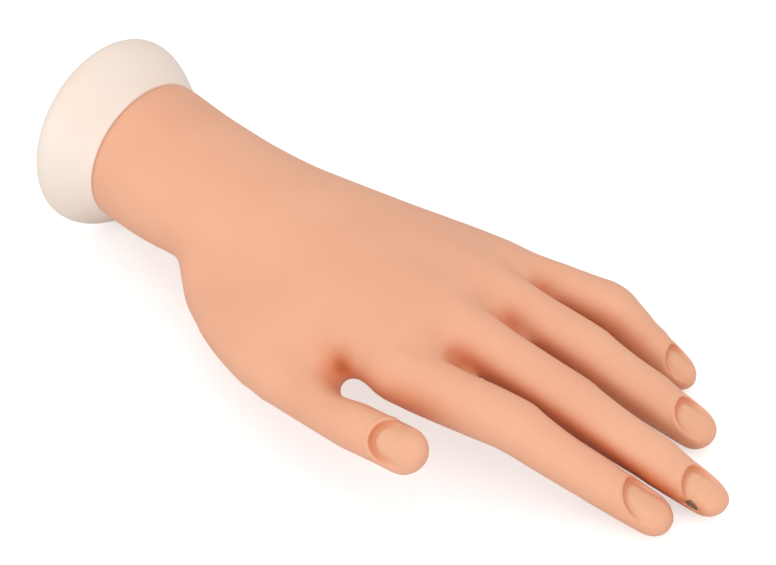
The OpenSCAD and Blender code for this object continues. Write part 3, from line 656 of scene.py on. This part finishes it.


# Where the painted shade between the fingers starts, the amount past which that painted shade turns darker
# still, and the most painted shade
GAPS_X, PAINTED_SHADE_TURN, PAINTED_SHADE_MOST = 148.0, 0.8, 1.5


def add_painted_shade(bm):
    """Paints shade into the skin's colour where shade falls: between the digits, at their roots, along the
    index finger's side that faces the thumb and in the nail folds.
    """
    layer = bm.verts.layers.float.new("painted_shade")
    bm.normal_update()
    shade_pockets = [(place + way * 5 - UP * 2, 5.5, 0.75) for place, way in crotches()]
    shade_pockets.append((POCKET, 6.0, 1.05))
    for vert in bm.verts:
        p, n = vert.co, vert.normal
        # Painted shade in the nail folds
        painted_shade = max(nail_shade(digit, p) for digit in DIGITS)
        # Painted shade in the pockets where the fingers part and in the hollow by the thumb
        for place, width, much in shade_pockets:
            away = (p - place).length
            if away < 2.5 * width:
                painted_shade = max(painted_shade, much * bell(away, width))
        # Painted shade along the index finger's side that faces the thumb
        away = segment_measure(p, *INDEX_SIDE)[0]
        if away < 22 and n.y < 0:
            painted_shade = max(painted_shade, 0.75 * bell(away, 9.0) * clamp(-1.3 * n.y))
        # Painted shade on finger sides that face a near neighbour, less where they look up
        if p.x > GAPS_X and n.z < 0.92:
            near = sorted(near_digit(digit, p) for digit in FINGERS)[1]
            painted_shade = max(painted_shade, 0.85 * (1 - ease(2.0, 13.0, near)) * (1 - ease(-0.1, 0.92, n.z)))
        vert[layer] = min(painted_shade, PAINTED_SHADE_MOST)


# A root bends between these places, counted from its pin: a finger's level, and the thumb's along its bone
FINGER_BEND, ROOT_BEND = (-6, 14), (-3.0, 12.0)
# Any other joint bends this far to both sides, or as far as this share of its shorter bone
JOINT_REACH, JOINT_SHARE = 8.0, 0.42


def bend_zone(digit, i):
    """Start and end of the bend at joint i."""
    bone = BONES[digit][i]
    if i == 0 and digit == "thumb":
        return bone.at(ROOT_BEND[0]), bone.at(ROOT_BEND[1])
    if i == 0:
        return bone.pin + bone.flat * FINGER_BEND[0], bone.pin + bone.flat * FINGER_BEND[1]
    before = BONES[digit][i - 1]
    reach = min(JOINT_REACH, JOINT_SHARE * min(bone.length, before.length))
    return bone.pin - before.along * reach, bone.pin + bone.along * reach


# How the skin is parted into pieces
# The fingers part from the palm at the first place, and are clear of each other from the second one on
ROOT_X, CLEAR_X = 141.0, 176.0
# Web between palm and thumb: its normal, the width that stretches, its shift, and the length of its corner
WEB_NORMAL = Vector((0.064, 0.843, 0.534))
WEB, WEB_SHIFT, CORNER = 5.0, -0.8, 5.0
# Cuts across the first two bones: places on the thumb's, and shares of a finger's
THUMB_CUTS, FINGER_CUTS = (38.0, 21.5), (0.55, 0.5)
# How far a cut runs on past the pieces that it parts, and how far from its plane faces may be cut
MARGIN, CUT_REACH = 2.0, 3.0
# How far the skin stands off the round bones, at most on the free thumb and on the fingers
THUMB_OFF, FINGER_OFF = 1.4, 3
# A hole's face is flat when its corners are no further out of its plane, and else is drawn in this much
FLAT, DRAWN_IN = 0.3, 4


class Plane:
    """A plane through a point; reach() is positive on the side that its normal faces."""

    def __init__(self, place, normal):
        self.place, self.normal = place, normal.normalized()

    def reach(self, p):
        return (p - self.place).dot(self.normal)

    def moved(self, by):
        return Plane(self.place + self.normal * by, self.normal)

    def meets(self, other):
        """A point that lies in this plane and in another one."""
        way = other.normal - self.normal * self.normal.dot(other.normal)
        return self.place - way * other.reach(self.place) / way.dot(other.normal)


class Parting:
    """Planes that part the skin, and the piece that a point belongs to."""

    def __init__(self):
        bone = BONES["thumb"][0]
        self.root = Plane(Vector((ROOT_X, 0, 0)), Vector((1, 0, 0)))
        self.base = Plane(bone.at(ROOT_BEND[0]), bone.along)
        self.bent = Plane(bone.at(ROOT_BEND[1]), bone.along)
        self.web = Plane(WEB_BOTTOM, WEB_NORMAL).moved(WEB_SHIFT)
        self.web_middle, self.web_far = self.web.moved(WEB / 2), self.web.moved(WEB)
        start, end = bend_zone("thumb", 1)
        self.joint = Plane(end, (end - start).normalized())
        self.sides = []
        for a, b in zip(FINGERS, FINGERS[1:]):
            near, far = (middle_of_gap(a, b, x) for x in (CROTCH_X, GAP_X))
            way = far - near
            self.sides.append(Plane(near, Vector((-way.y, way.x, 0)).normalized()))
        self.half, self.late = {}, {}
        for digit in DIGITS:
            first, middle, _ = BONES[digit]
            half, late = THUMB_CUTS if digit == "thumb" else (
                share * bone.length for share, bone in zip(FINGER_CUTS, (first, middle))
            )
            self.half[digit] = Plane(first.at(half), first.along)
            self.late[digit] = Plane(middle.at(late), middle.along)
        self.corner = self.late["thumb"].moved(CORNER)

    def on_thumb(self, p):
        """True for a point on the thumb's side of the web, or on the free thumb."""
        if self.late["thumb"].reach(p) < 0:
            return self.base.reach(p) > 0 > self.web.reach(p)
        return near_digit("thumb", p, 1) < THUMB_OFF

    def finger(self, p):
        for digit, side in zip(FINGERS, self.sides):
            if side.reach(p) < 0:
                return digit
        return "little"

    def stage(self, digit, p):
        if self.late[digit].reach(p) > 0:
            return f"{digit}_tip"
        return f"{digit}_middle" if self.half[digit].reach(p) > 0 else f"{digit}_root"

    def piece(self, p, finger=None):
        if self.on_thumb(p):
            return self.stage("thumb", p)
        if self.base.reach(p) > 0 > self.corner.reach(p) and self.web_far.reach(p) < 0:
            if self.late["thumb"].reach(p) > 0:
                return "thumb_web_corner"
            if self.web_middle.reach(p) > 0:
                return "thumb_web" if self.bent.reach(p) > 0 else "thumb_web_root"
            if self.half["thumb"].reach(p) < 0:
                return "thumb_root"
            return "thumb_web_side" if self.joint.reach(p) > 0 else "thumb_web_joint"
        if self.root.reach(p) > 0:
            return self.stage(finger or self.finger(p), p)
        return "palm"

    def web_turns(self):
        """The web's pieces, each with its two bodies and where it passes from one to the other.

        Every piece turns as much as its neighbours where they meet.
        """
        across = -self.web.normal / (WEB / 2)
        hand, thumb = ("palm", "thumb_first"), ("thumb_first", "thumb_middle")
        root = self.base.meets(self.web_middle)
        rise = self.base.normal / (ROOT_BEND[1] - ROOT_BEND[0]) + across
        yield "thumb_web_root", hand, root, root + rise / rise.length_squared
        yield "thumb_web", hand, self.web_far.place, self.web_middle.place
        tip = self.late["thumb"].meets(self.web_middle)
        fall = across - self.late["thumb"].normal / CORNER
        yield "thumb_web_corner", hand, tip - fall / fall.length_squared, tip
        start, end = bend_zone("thumb", 1)
        joint = Plane(start, self.joint.normal).meets(self.web)
        turn = self.joint.normal / (end - start).length + across
        yield "thumb_web_joint", thumb, joint, joint + turn / turn.length_squared
        yield "thumb_web_side", thumb, self.web_middle.place, self.web.place

    def cuts(self):
        """Each plane, with a test for the points where it parts two pieces."""
        late = self.late["thumb"]

        def between(low, high):
            return lambda p: low.reach(p) > -MARGIN and high.reach(p) < MARGIN

        yield self.web, between(self.base, late)
        yield self.web_middle, between(self.base, late)
        yield self.web_far, between(self.base, self.corner)
        yield self.bent, between(self.web_middle, self.web_far)
        yield self.joint, between(self.web, self.web_middle)
        yield self.corner, lambda p: self.web_far.reach(p) < MARGIN and not self.on_thumb(p)
        yield self.base, lambda p: self.web_far.reach(p) < MARGIN
        yield self.half["thumb"], lambda p: self.web_middle.reach(p) < MARGIN
        yield late, lambda p: self.web_far.reach(p) < MARGIN
        yield self.root, lambda p: not self.on_thumb(p)
        for side in self.sides:
            yield side, lambda p: ROOT_X - MARGIN < p.x < CLEAR_X + MARGIN
        for digit in FINGERS:
            for plane in (self.half[digit], self.late[digit]):
                yield plane, lambda p, digit=digit: near_digit(digit, p) < FINGER_OFF


def patches(faces, same):
    """Groups of faces that hang together, as far as same(first, other) is true."""
    seen = set()
    for first in faces:
        if first in seen:
            continue
        seen.add(first)
        patch, waiting = [], [first]
        while waiting:
            face = waiting.pop()
            patch.append(face)
            for edge in face.edges:
                for other in edge.link_faces:
                    if other not in seen and same(first, other):
                        seen.add(other)
                        waiting.append(other)
        yield patch


class WholeSkin:
    """The whole skin, parted along planes, with the normals that it had before."""

    def __init__(self, bm):
        bm.normal_update()
        normal = bm.verts.layers.float_vector.new("skin_normal")
        for vert in bm.verts:
            vert[normal] = vert.normal
        self.tree = BVHTree.FromBMesh(bm)
        parting = Parting()
        self.planes = [plane for plane, _ in parting.cuts()]
        for plane, test in parting.cuts():
            geom = set()
            for face in bm.faces:
                middle = face.calc_center_median()
                if abs(plane.reach(middle)) < CUT_REACH and test(middle):
                    geom.update([face, *face.edges, *face.verts])
            cut = {"plane_co": plane.place, "plane_no": plane.normal, "dist": 1e-4}
            bmesh.ops.bisect_plane(bm, geom=list(geom), **cut)
        self.names = []
        label = bm.faces.layers.int.new("piece")
        fingers = self.clear_fingers(bm, parting)
        for face in bm.faces:
            name = parting.piece(face.calc_center_median(), fingers.get(face))
            if name not in self.names:
                self.names.append(name)
            face[label] = self.names.index(name)
        self.join_slivers(bm, label)
        self.bm = bm

    @staticmethod
    def join_slivers(bm, label, least=40):
        """Gives patches of a few faces to the piece beside them."""
        for patch in patches(bm.faces, lambda first, other: other[label] == first[label]):
            if len(patch) >= least:
                continue
            own, beside = patch[0][label], []
            for face in patch:
                for edge in face.edges:
                    beside += [other[label] for other in edge.link_faces if other[label] != own]
            if beside:
                number = max(set(beside), key=beside.count)
                for face in patch:
                    face[label] = number

    @staticmethod
    def clear_fingers(bm, parting):
        """The finger of every face where the fingers are clear of each other."""
        middles = {face: face.calc_center_median() for face in bm.faces}
        clear = {face: middle for face, middle in middles.items() if middle.x > CLEAR_X}
        fingers = {}
        for island in patches(clear, lambda first, other: other in clear):
            total = sum((clear[face] for face in island), Vector())
            fingers.update(dict.fromkeys(island, parting.finger(total / len(island))))
        return fingers

    def flat_parts(self, face):
        """Splits the face of a hole where the planes meet that it was cut along."""
        waiting, parts = [face], []
        while waiting:
            face = waiting.pop()
            verts = list(face.verts)
            count = len(verts)
            planes = [self.plane_of(a.co, b.co) for a, b in zip(verts, verts[1:] + verts[:1])]
            turns = [k for k in range(count) if planes[k] != planes[k - 1]]
            for start, end in zip(turns, turns[1:] + turns[:1]):
                if planes[start - 1] == planes[end] and 1 < (end - start) % count < count - 1:
                    waiting += [face, bmesh.utils.face_split(face, verts[start], verts[end])[0]]
                    break
            else:
                parts.append(face)
        return parts

    def plane_of(self, a, b):
        """Number of the plane that both points lie in."""
        for number, plane in enumerate(self.planes):
            if abs(plane.reach(a)) < 0.01 and abs(plane.reach(b)) < 0.01:
                return number
        return -1

    @staticmethod
    def bend(face):
        """How far the corners of a face are out of its plane."""
        middle = face.calc_center_median()
        face.normal_update()
        return max(abs((vert.co - middle).dot(face.normal)) for vert in face.verts)

    @staticmethod
    def sink(bm, face):
        """Closes a hole that lies in more than one plane, with a fan to a point inside the piece."""
        inward = Vector()
        for edge in face.edges:
            for other in edge.link_faces:
                if other is not face:
                    middle = (edge.verts[0].co + edge.verts[1].co) / 2
                    inward += (other.calc_center_median() - middle).normalized() * DRAWN_IN / len(face.edges)
        fan = bmesh.ops.poke(bm, faces=[face])
        for vert in fan["verts"]:
            vert.co += inward
        return fan["faces"]

    def piece(self, name, material):
        """The faces of one piece, closed where they were cut."""
        bm = self.bm.copy()
        label = bm.faces.layers.int["piece"]
        number = self.names.index(name)
        bmesh.ops.delete(bm, geom=[f for f in bm.faces if f[label] != number], context="FACES")
        bmesh.ops.triangulate(bm, faces=[f for f in bm.faces if len(f.verts) > 4])
        filled = bmesh.ops.holes_fill(bm, edges=[e for e in bm.edges if e.is_boundary], sides=0)["faces"]
        walls = set()
        for face in filled:
            for part in self.flat_parts(face):
                if self.bend(part) < FLAT:
                    walls.update(bmesh.ops.triangulate(bm, faces=[part])["faces"])
                else:
                    walls.update(self.sink(bm, part))
        # At a corner of the hole a wall face can lie on a skin face, and both go
        corners = {}
        for face in bm.faces:
            corners.setdefault(frozenset(face.verts), []).append(face)
        doubled = [face for faces in corners.values() if len(faces) > 1 for face in faces]
        bmesh.ops.delete(bm, geom=doubled, context="FACES")
        layer = bm.verts.layers.float_vector["skin_normal"]
        bm.normal_update()
        normals = []
        for face in bm.faces:
            for loop in face.loops:
                normals.append(face.normal.copy() if face in walls else loop.vert[layer].normalized())
        piece = finish_piece(bm, f"skin_{name}", material)
        piece.data.normals_split_custom_set(normals)
        for spare in ("skin_normal", "piece"):
            piece.data.attributes.remove(piece.data.attributes[spare])
        return piece


# Materials
WHITE = (1.0, 1.0, 1.0, 1.0)


def linear(color):
    return tuple(c / 12.92 if c <= 0.04045 else ((c + 0.055) / 1.055) ** 2.4 for c in color[:3]) + (1.0,)


def grey(level):
    return (level, level, level, 1.0)


class Tree:
    """The shader nodes of a material or of the world."""

    def __init__(self, owner):
        owner.use_nodes = True
        self.nodes, self.links = owner.node_tree.nodes, owner.node_tree.links

    def feed(self, node, inputs):
        """Sets inputs to values, or links them to outputs."""
        for name, value in inputs.items():
            if isinstance(value, bpy.types.NodeSocket):
                self.links.new(value, node.inputs[name])
            else:
                node.inputs[name].default_value = value

    def add(self, kind, inputs, output=0):
        """An output of a new node that is fed with these inputs."""
        node = self.nodes.new(f"ShaderNode{kind}")
        self.feed(node, inputs)
        return node.outputs[output]

    def noise(self, source, scale, detail=2.0, roughness=0.5):
        inputs = {"Vector": source, "Scale": scale, "Detail": detail, "Roughness": roughness}
        return self.add("TexNoise", inputs)

    def bump(self, source, distance, strength, under=None):
        inputs = {"Height": source, "Distance": distance, "Strength": strength}
        return self.add("Bump", {**inputs, "Normal": under} if under else inputs)

    def ramp(self, source, low, high, places=(0.3, 0.7)):
        node = self.nodes.new("ShaderNodeValToRGB")
        for point, place, color in zip(node.color_ramp.elements, places, (low, high)):
            point.position, point.color = place, color
        self.feed(node, {"Fac": source})
        return node.outputs["Color"]

    def mix(self, share, under, over):
        """Mixes a colour of the tree with a fixed one."""
        node = self.nodes.new("ShaderNodeMix")
        node.data_type = "RGBA"
        self.feed(node, {"Factor": share, "A": under, "B": linear(over)})
        return node.outputs["Result"]

    def show_camera(self, seen, others, output):
        """Shows the camera one shader, and every other ray another one."""
        camera = self.add("LightPath", {}, "Is Camera Ray")
        pick = self.add("MixShader", {"Fac": camera, 1: others, 2: seen})
        self.feed(self.nodes[output], {"Surface": pick})


def new_material(name):
    material = bpy.data.materials.new(name)
    tree = Tree(material)
    return material, tree, tree.nodes["Principled BSDF"]


def soft_finish(name, light, dark, rough, grain, mottle=34.0, deep=None):
    """Soft moulded skin: a slow drift of colour, a fine grain and a satin sheen."""
    material, tree, shader = new_material(name)
    place = tree.add("TexCoord", {}, "Object")
    color = tree.ramp(tree.noise(place, mottle, 2.0, 0.55), linear(dark), linear(light), (0.34, 0.66))
    # Painted shade: the colour deepens where the shade attribute marks gaps, pockets and nail folds, and
    # turns darker still where it is strongest
    if deep:
        painted_shade = tree.nodes.new("ShaderNodeAttribute")
        painted_shade.attribute_name = "painted_shade"
        color = tree.mix(painted_shade.outputs["Fac"], color, deep)
        over = tree.nodes.new("ShaderNodeMath")
        over.operation, over.use_clamp = "SUBTRACT", True
        tree.feed(over, {0: painted_shade.outputs["Fac"], 1: PAINTED_SHADE_TURN})
        color = tree.mix(over.outputs["Value"], color, tuple(c * 0.6 for c in deep))
    pores = tree.bump(tree.noise(place, 2600.0), grain, 0.5)
    tree.feed(shader, {
        "Base Color": color,
        "Roughness": tree.ramp(tree.noise(place, 260.0, 3.0), grey(rough - 0.05), grey(rough + 0.06)),
        "Normal": tree.bump(tree.noise(place, 420.0), grain * 2, 0.35, pores),
        "Specular IOR Level": 0.35,
    })
    return material


def hard_finish(name, color, rough, metal=0.0, flow=0.0):
    """Moulded plastic or turned steel, with faint marks of how it was made."""
    material, tree, shader = new_material(name)
    place = tree.add("TexCoord", {}, "Object")
    if flow:
        place = tree.add("Mapping", {"Vector": place, "Scale": (flow, 1.0, 1.0)})
    marks = tree.noise(place, 900.0, 3.0)
    tree.feed(shader, {
        "Base Color": tree.ramp(marks, linear(tuple(c * 0.93 for c in color)), linear(color)),
        "Roughness": tree.ramp(marks, grey(rough - 0.06), grey(rough + 0.08)),
        "Normal": tree.bump(marks, 0.00003, 0.4),
        "Metallic": metal,
    })
    return material


def shared(finish, name, *settings, **more):
    """The material of that name, made with its finish when it isn't there yet."""
    return bpy.data.materials.get(name) or finish(name, *settings, **more)


# Settings and operators
def color_setting(name, description, default):
    return FloatVectorProperty(
        name=name, description=description, subtype="COLOR_GAMMA", size=3, min=0, max=1, default=default,
    )


class HandLook(bpy.types.PropertyGroup):
    """Settings that a user would change"""

    skin_color: color_setting("Skin", "Colour of the soft skin", (0.937, 0.7, 0.572))
    skin_flush: color_setting("Skin flush", "Pinker colour that the skin drifts to", (0.925, 0.68, 0.555))
    # Colour of the shade painted into the gaps between the digits, the pockets and the nail folds
    skin_deep: color_setting("Skin depth", "Deeper colour in the gaps and pockets", (0.82, 0.45, 0.26))
    nail_color: color_setting("Nail bed", "Colour of the nail beds", (0.93, 0.705, 0.565))
    collar_color: color_setting("Collar", "Colour of the stand collar", (0.965, 0.91, 0.87))
    fineness: FloatProperty(
        name="Skin fineness", description="Edge length of the skin's faces", unit="LENGTH",
        subtype="DISTANCE", default=0.0008, min=0.0005, max=0.002,
    )
    lens: FloatProperty(
        name="Lens", description="Focal length of the camera", subtype="DISTANCE_CAMERA",
        default=72.3, min=20, max=200,
    )


# The photograph's camera: degrees round and up, the place that it faces, and how far off that is
VIEW_TURN, VIEW_RISE, VIEW_AIM, VIEW_AWAY = 38.0, 44.6, Vector((124.5, 0.1, 0)), 491.4
# Height of the table, just under the rim and the fingertips
FLOOR_Z = -34.35
# Name, place, diameter in metres and power of each lamp, and the place that they all face
LAMPS = (
    ("key", (-0.1, -0.9, 0.42), 0.9, 2.2),
    ("top", (0.2, 0.0, 1.1), 0.9, 1.6),
    ("front", (0.95, -0.3, 0.55), 0.8, 2.1),
)
LAMP_AIM = Vector((0.13, 0.0, 0.0))


class HAND_OT_stage(bpy.types.Operator):
    """Camera, floor, lamps and white background"""

    bl_idname = "hand.stage"
    bl_label = "Stage"

    def execute(self, context):
        scene = context.scene
        turn, rise = math.radians(VIEW_TURN), math.radians(VIEW_RISE)
        back = Vector((math.sin(turn) * math.cos(rise), -math.cos(turn) * math.cos(rise), math.sin(rise)))
        right = Vector((math.cos(turn), math.sin(turn), 0))
        up = back.cross(right)
        data = bpy.data.cameras.new("camera")
        data.lens, data.sensor_width = scene.hand_look.lens, 36.0
        data.clip_start, data.clip_end = 0.01, 20.0
        camera = bpy.data.objects.new("camera", data)
        camera.matrix_world = Matrix((right, up, back)).transposed().to_4x4()
        camera.location = (VIEW_AIM + back * VIEW_AWAY) * MM
        scene.collection.objects.link(camera)
        scene.camera = camera
        scene.view_settings.view_transform = "Standard"

        bm = bmesh.new()
        bmesh.ops.create_grid(bm, x_segments=8, y_segments=8, size=2500.0)
        bmesh.ops.translate(bm, vec=(120, 0, FLOOR_Z), verts=bm.verts)
        floor = finish_piece(bm, "floor", self.floor_material(), smooth=False)
        self.lamps(scene)
        return {"FINISHED"}

    @staticmethod
    def floor_material():
        """A pale floor that glows for the camera alone, so that it runs into the background."""
        material, tree, shader = new_material("pale_floor")
        tree.feed(shader, {"Base Color": linear((0.88,) * 3), "Roughness": 0.9, "Specular IOR Level": 0.0})
        plain_floor = shader.outputs["BSDF"]
        glow = tree.add("Emission", {"Color": WHITE, "Strength": 0.5})
        tree.show_camera(tree.add("AddShader", {0: plain_floor, 1: glow}), plain_floor, "Material Output")
        return material

    @staticmethod
    def lamps(scene):
        scene.world = bpy.data.worlds.new("studio")
        tree = Tree(scene.world)
        sky = tree.nodes["Background"]
        tree.feed(sky, {"Color": (1.0, 0.995, 0.99, 1), "Strength": 0.72})
        white = tree.add("Background", {"Color": WHITE, "Strength": 1.0})
        tree.show_camera(white, sky.outputs["Background"], "World Output")
        for name, place, size, power in LAMPS:
            data = bpy.data.lights.new(name, "AREA")
            data.shape, data.size, data.energy = "DISK", size, power
            data.color = (1.0, 0.98, 0.95)
            lamp = bpy.data.objects.new(name, data)
            lamp.location = place
            lamp.rotation_euler = (LAMP_AIM - lamp.location).to_track_quat("-Z", "Y").to_euler()
            scene.collection.objects.link(lamp)


# Rings of a nail bed from its middle out: share of the recess, and how far it drops there
NAIL_RINGS = (
    (0.04, 0), (0.15, 0), (0.3, 0), (0.45, 0), (0.6, 0), (0.7, 0), (0.78, 0), (0.815, 0.12), (0.82, 0.5),
)


class HAND_OT_skin(bpy.types.Operator):
    """Soft skin: one moulded form, cut into pieces at the joints"""

    bl_idname = "hand.skin"
    bl_label = "Skin and nail beds"

    def execute(self, context):
        look = context.scene.hand_look
        voxel = look.fineness
        bm = whole_hand(voxel / MM)
        soften_joints(bm)
        swell(bm, SWELL)
        refine_nails(bm)
        press_details(bm)
        # Paints shade into the skin's colour in the gaps, pockets and nail folds
        add_painted_shade(bm)
        skin = WholeSkin(bm)
        # The skin's colour, its random drift colour, and the colour of its painted shade
        light, dark, deep = tuple(look.skin_color), tuple(look.skin_flush), tuple(look.skin_deep)
        material = shared(soft_finish, "soft_vinyl_skin", light, dark, 0.5, 0.00004, deep=deep)
        self.palm(skin, material)
        for digit in DIGITS:
            self.digit(skin, digit, material)
            self.nail(skin, digit)
        bm.free()
        return {"FINISHED"}

    @staticmethod
    def palm(skin, material):
        piece = skin.piece("palm", material)
        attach(piece, "palm")
        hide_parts("palm_skin", "knuckle_folds")
        # The web of the thumb, in pieces from the palm's side to the thumb's
        for name, bodies, start, end in Parting().web_turns():
            if name in skin.names:
                web = skin.piece(name, material)
                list(bodies)
                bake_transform(web)

    @staticmethod
    def digit(skin, digit, material):
        first, middle = f"{digit}_first", f"{digit}_middle"
        for part, a, b, i, nodes in (
            ("root", "palm", first, 0, (f"{first}_skin",)),
            ("middle", first, middle, 1, (f"{middle}_skin", f"{digit}_skin_folds")),
            ("tip", middle, f"{digit}_tip", 2, (f"{digit}_tip_skin",)),
        ):
            piece = skin.piece(f"{digit}_{part}", material)
            start, end = bend_zone(digit, i)
            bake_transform(piece)
            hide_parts(*nodes)

    @staticmethod
    def nail(skin, digit):
        """A thin bed that follows the recess in the skin and sinks a little towards its free end."""
        look = bpy.context.scene.hand_look
        color, deep = tuple(look.nail_color), tuple(look.skin_deep)
        warm = tuple(c * 0.985 for c in color)
        material = shared(soft_finish, "nail_bed_gloss", color, warm, 0.42, 0.00001, deep=deep)
        bone, middle, side, length, width = nail_frame(digit)
        rings = []
        for share, drop in NAIL_RINGS:
            ring = []
            for c, s in circle(64):
                u, v = (share * signed_power(part, 2 / NAIL_POWER) for part in (c, s))
                above = bone.at(middle + u * length / 2, side + v * width / 2, 20)
                hit = skin.tree.ray_cast(above, -bone.back)[0] or above - bone.back * 13
                ring.append(hit + bone.back * (mix(0.1, -0.35, ease(0.1, 0.7, u)) - drop))
            rings.append(ring)
        bm = lofted(rings)
        # Painted shade in the fold at the nail's root
        layer = bm.verts.layers.float.new("painted_shade")
        for vert in bm.verts:
            vert[layer] = nail_shade(digit, vert.co)
        piece = finish_piece(bm, f"nail_{digit}", material)
        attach(piece, f"{digit}_tip")
        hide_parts(f"{digit}_nail_bed")


# Radius of the collar's rim, half width and half height at the seam, and radius of the rim's edge
RIM_R, SEAM_WIDE, SEAM_HIGH, RIM_EDGE = 34.3, 27.0, 24.5, 3.0
# Radius and length of a counterbore's drill, and radius of the circle that they stand on
BORE_R, BORE_DEPTH, BORE_CIRCLE = 3.05, 4.0, 13


class HAND_OT_collar(bpy.types.Operator):
    """Flared stand collar of milky plastic, with its three counterbores"""

    bl_idname = "hand.collar"
    bl_label = "Stand collar"

    def execute(self, context):
        color = tuple(context.scene.hand_look.collar_color)
        warm = (color[0] * 0.99, color[1] * 0.965, color[2] * 0.94)
        material = shared(soft_finish, "milky_plastic", color, warm, 0.4, 0.00001, 18.0)
        # Stations from the flat end to the seam: place, change of size, and share of the way from rim to seam
        stations = []
        for degrees in (-62, -50, -36, -20, 0):
            a = math.radians(degrees)
            stations.append((RIM_EDGE * (math.sin(a) + 0.883), -RIM_EDGE * (1 - math.cos(a)), 0.0))
        for k in range(1, 15):
            t = k / 14
            stations.append((mix(2.65, 19.1, t), 0.0, t * t * (1.9 - 0.9 * t)))
        stations += [(19.45, -0.25, 1.0), (19.5, -0.8, 1.0)]
        rings = []
        for x, less, share in stations:
            wide, high = mix(RIM_R, SEAM_WIDE, share) + less, mix(RIM_R, SEAM_HIGH, share) + less
            rings.append([Vector((x, wide * c, high * s)) for c, s in circle(128)])
        collar = finish_piece(lofted(rings), "collar", material)
        self.sink_screws(collar, material)
        collar.data.set_sharp_from_angle(angle=math.radians(40))
        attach(collar, "palm")
        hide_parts("stand_collar")
        return {"FINISHED"}

    @staticmethod
    def sink_screws(collar, material):
        """Counterbores for the three screw heads."""
        bm = bmesh.new()
        for k in range(3):
            t = math.radians(90 + 120 * k)
            drill = bmesh.ops.create_cone(
                bm, cap_ends=True, segments=48, radius1=BORE_R, radius2=BORE_R, depth=BORE_DEPTH,
            )["verts"]
            bmesh.ops.rotate(bm, cent=(0, 0, 0), matrix=Matrix.Rotation(math.pi / 2, 3, "Y"), verts=drill)
            place = (0, BORE_CIRCLE * math.cos(t), BORE_CIRCLE * math.sin(t))
            bmesh.ops.translate(bm, vec=place, verts=drill)
        drills = finish_piece(bm, "drills", material, smooth=False)
        bore = collar.modifiers.new("Bores", "BOOLEAN")
        bore.operation, bore.object, bore.solver = "DIFFERENCE", drills, "EXACT"
        apply_modifiers(collar)
        bpy.data.objects.remove(drills)


class HAND_OT_skeleton(bpy.types.Operator):
    """Finishes of the skeleton, pins and screws inside the hand"""

    bl_idname = "hand.skeleton"
    bl_label = "Skeleton finishes"

    def execute(self, context):
        plastic = shared(hard_finish, "moulded_bone", (0.86, 0.83, 0.78), 0.5)
        steel = shared(hard_finish, "turned_steel", (0.74, 0.74, 0.75), 0.3, 1.0, 0.2)
        for name, node in frame["nodes"].items():
            if name.endswith("_bone") or name in ("palm_frame", "wrist_post"):
                self.paint(node, plastic)
            elif name.endswith(("_pins", "_screws")):
                self.paint(node, steel)
        return {"FINISHED"}

    @staticmethod
    def paint(node, material):
        if node.material_slots:
            for slot in node.material_slots:
                slot.material = material
        else:
            node.data.materials.append(material)


class HAND_PT_panel(bpy.types.Panel):
    """The hand's pieces and settings"""

    bl_idname = "HAND_PT_panel"
    bl_label = "Mannequin hand"
    bl_space_type = "VIEW_3D"
    bl_region_type = "UI"
    bl_category = "Hand"

    def draw(self, context):
        look = context.scene.hand_look
        for name in HandLook.__annotations__:
            self.layout.prop(look, name)
        for step in STEPS:
            self.layout.operator(step.bl_idname)


STEPS = (HAND_OT_stage, HAND_OT_skin, HAND_OT_collar, HAND_OT_skeleton)
CLASSES = (HandLook,) + STEPS + (HAND_PT_panel,)


def register():
    for cls in CLASSES:
        bpy.utils.register_class(cls)
    bpy.types.Scene.hand_look = PointerProperty(type=HandLook)


def unregister():
    del bpy.types.Scene.hand_look
    for cls in reversed(CLASSES):
        bpy.utils.unregister_class(cls)


def main():
    register()
    bpy.ops.hand.stage()
    bpy.ops.hand.skin()
    bpy.ops.hand.collar()
    bpy.ops.hand.skeleton()


if __name__ == "__main__":
    main()
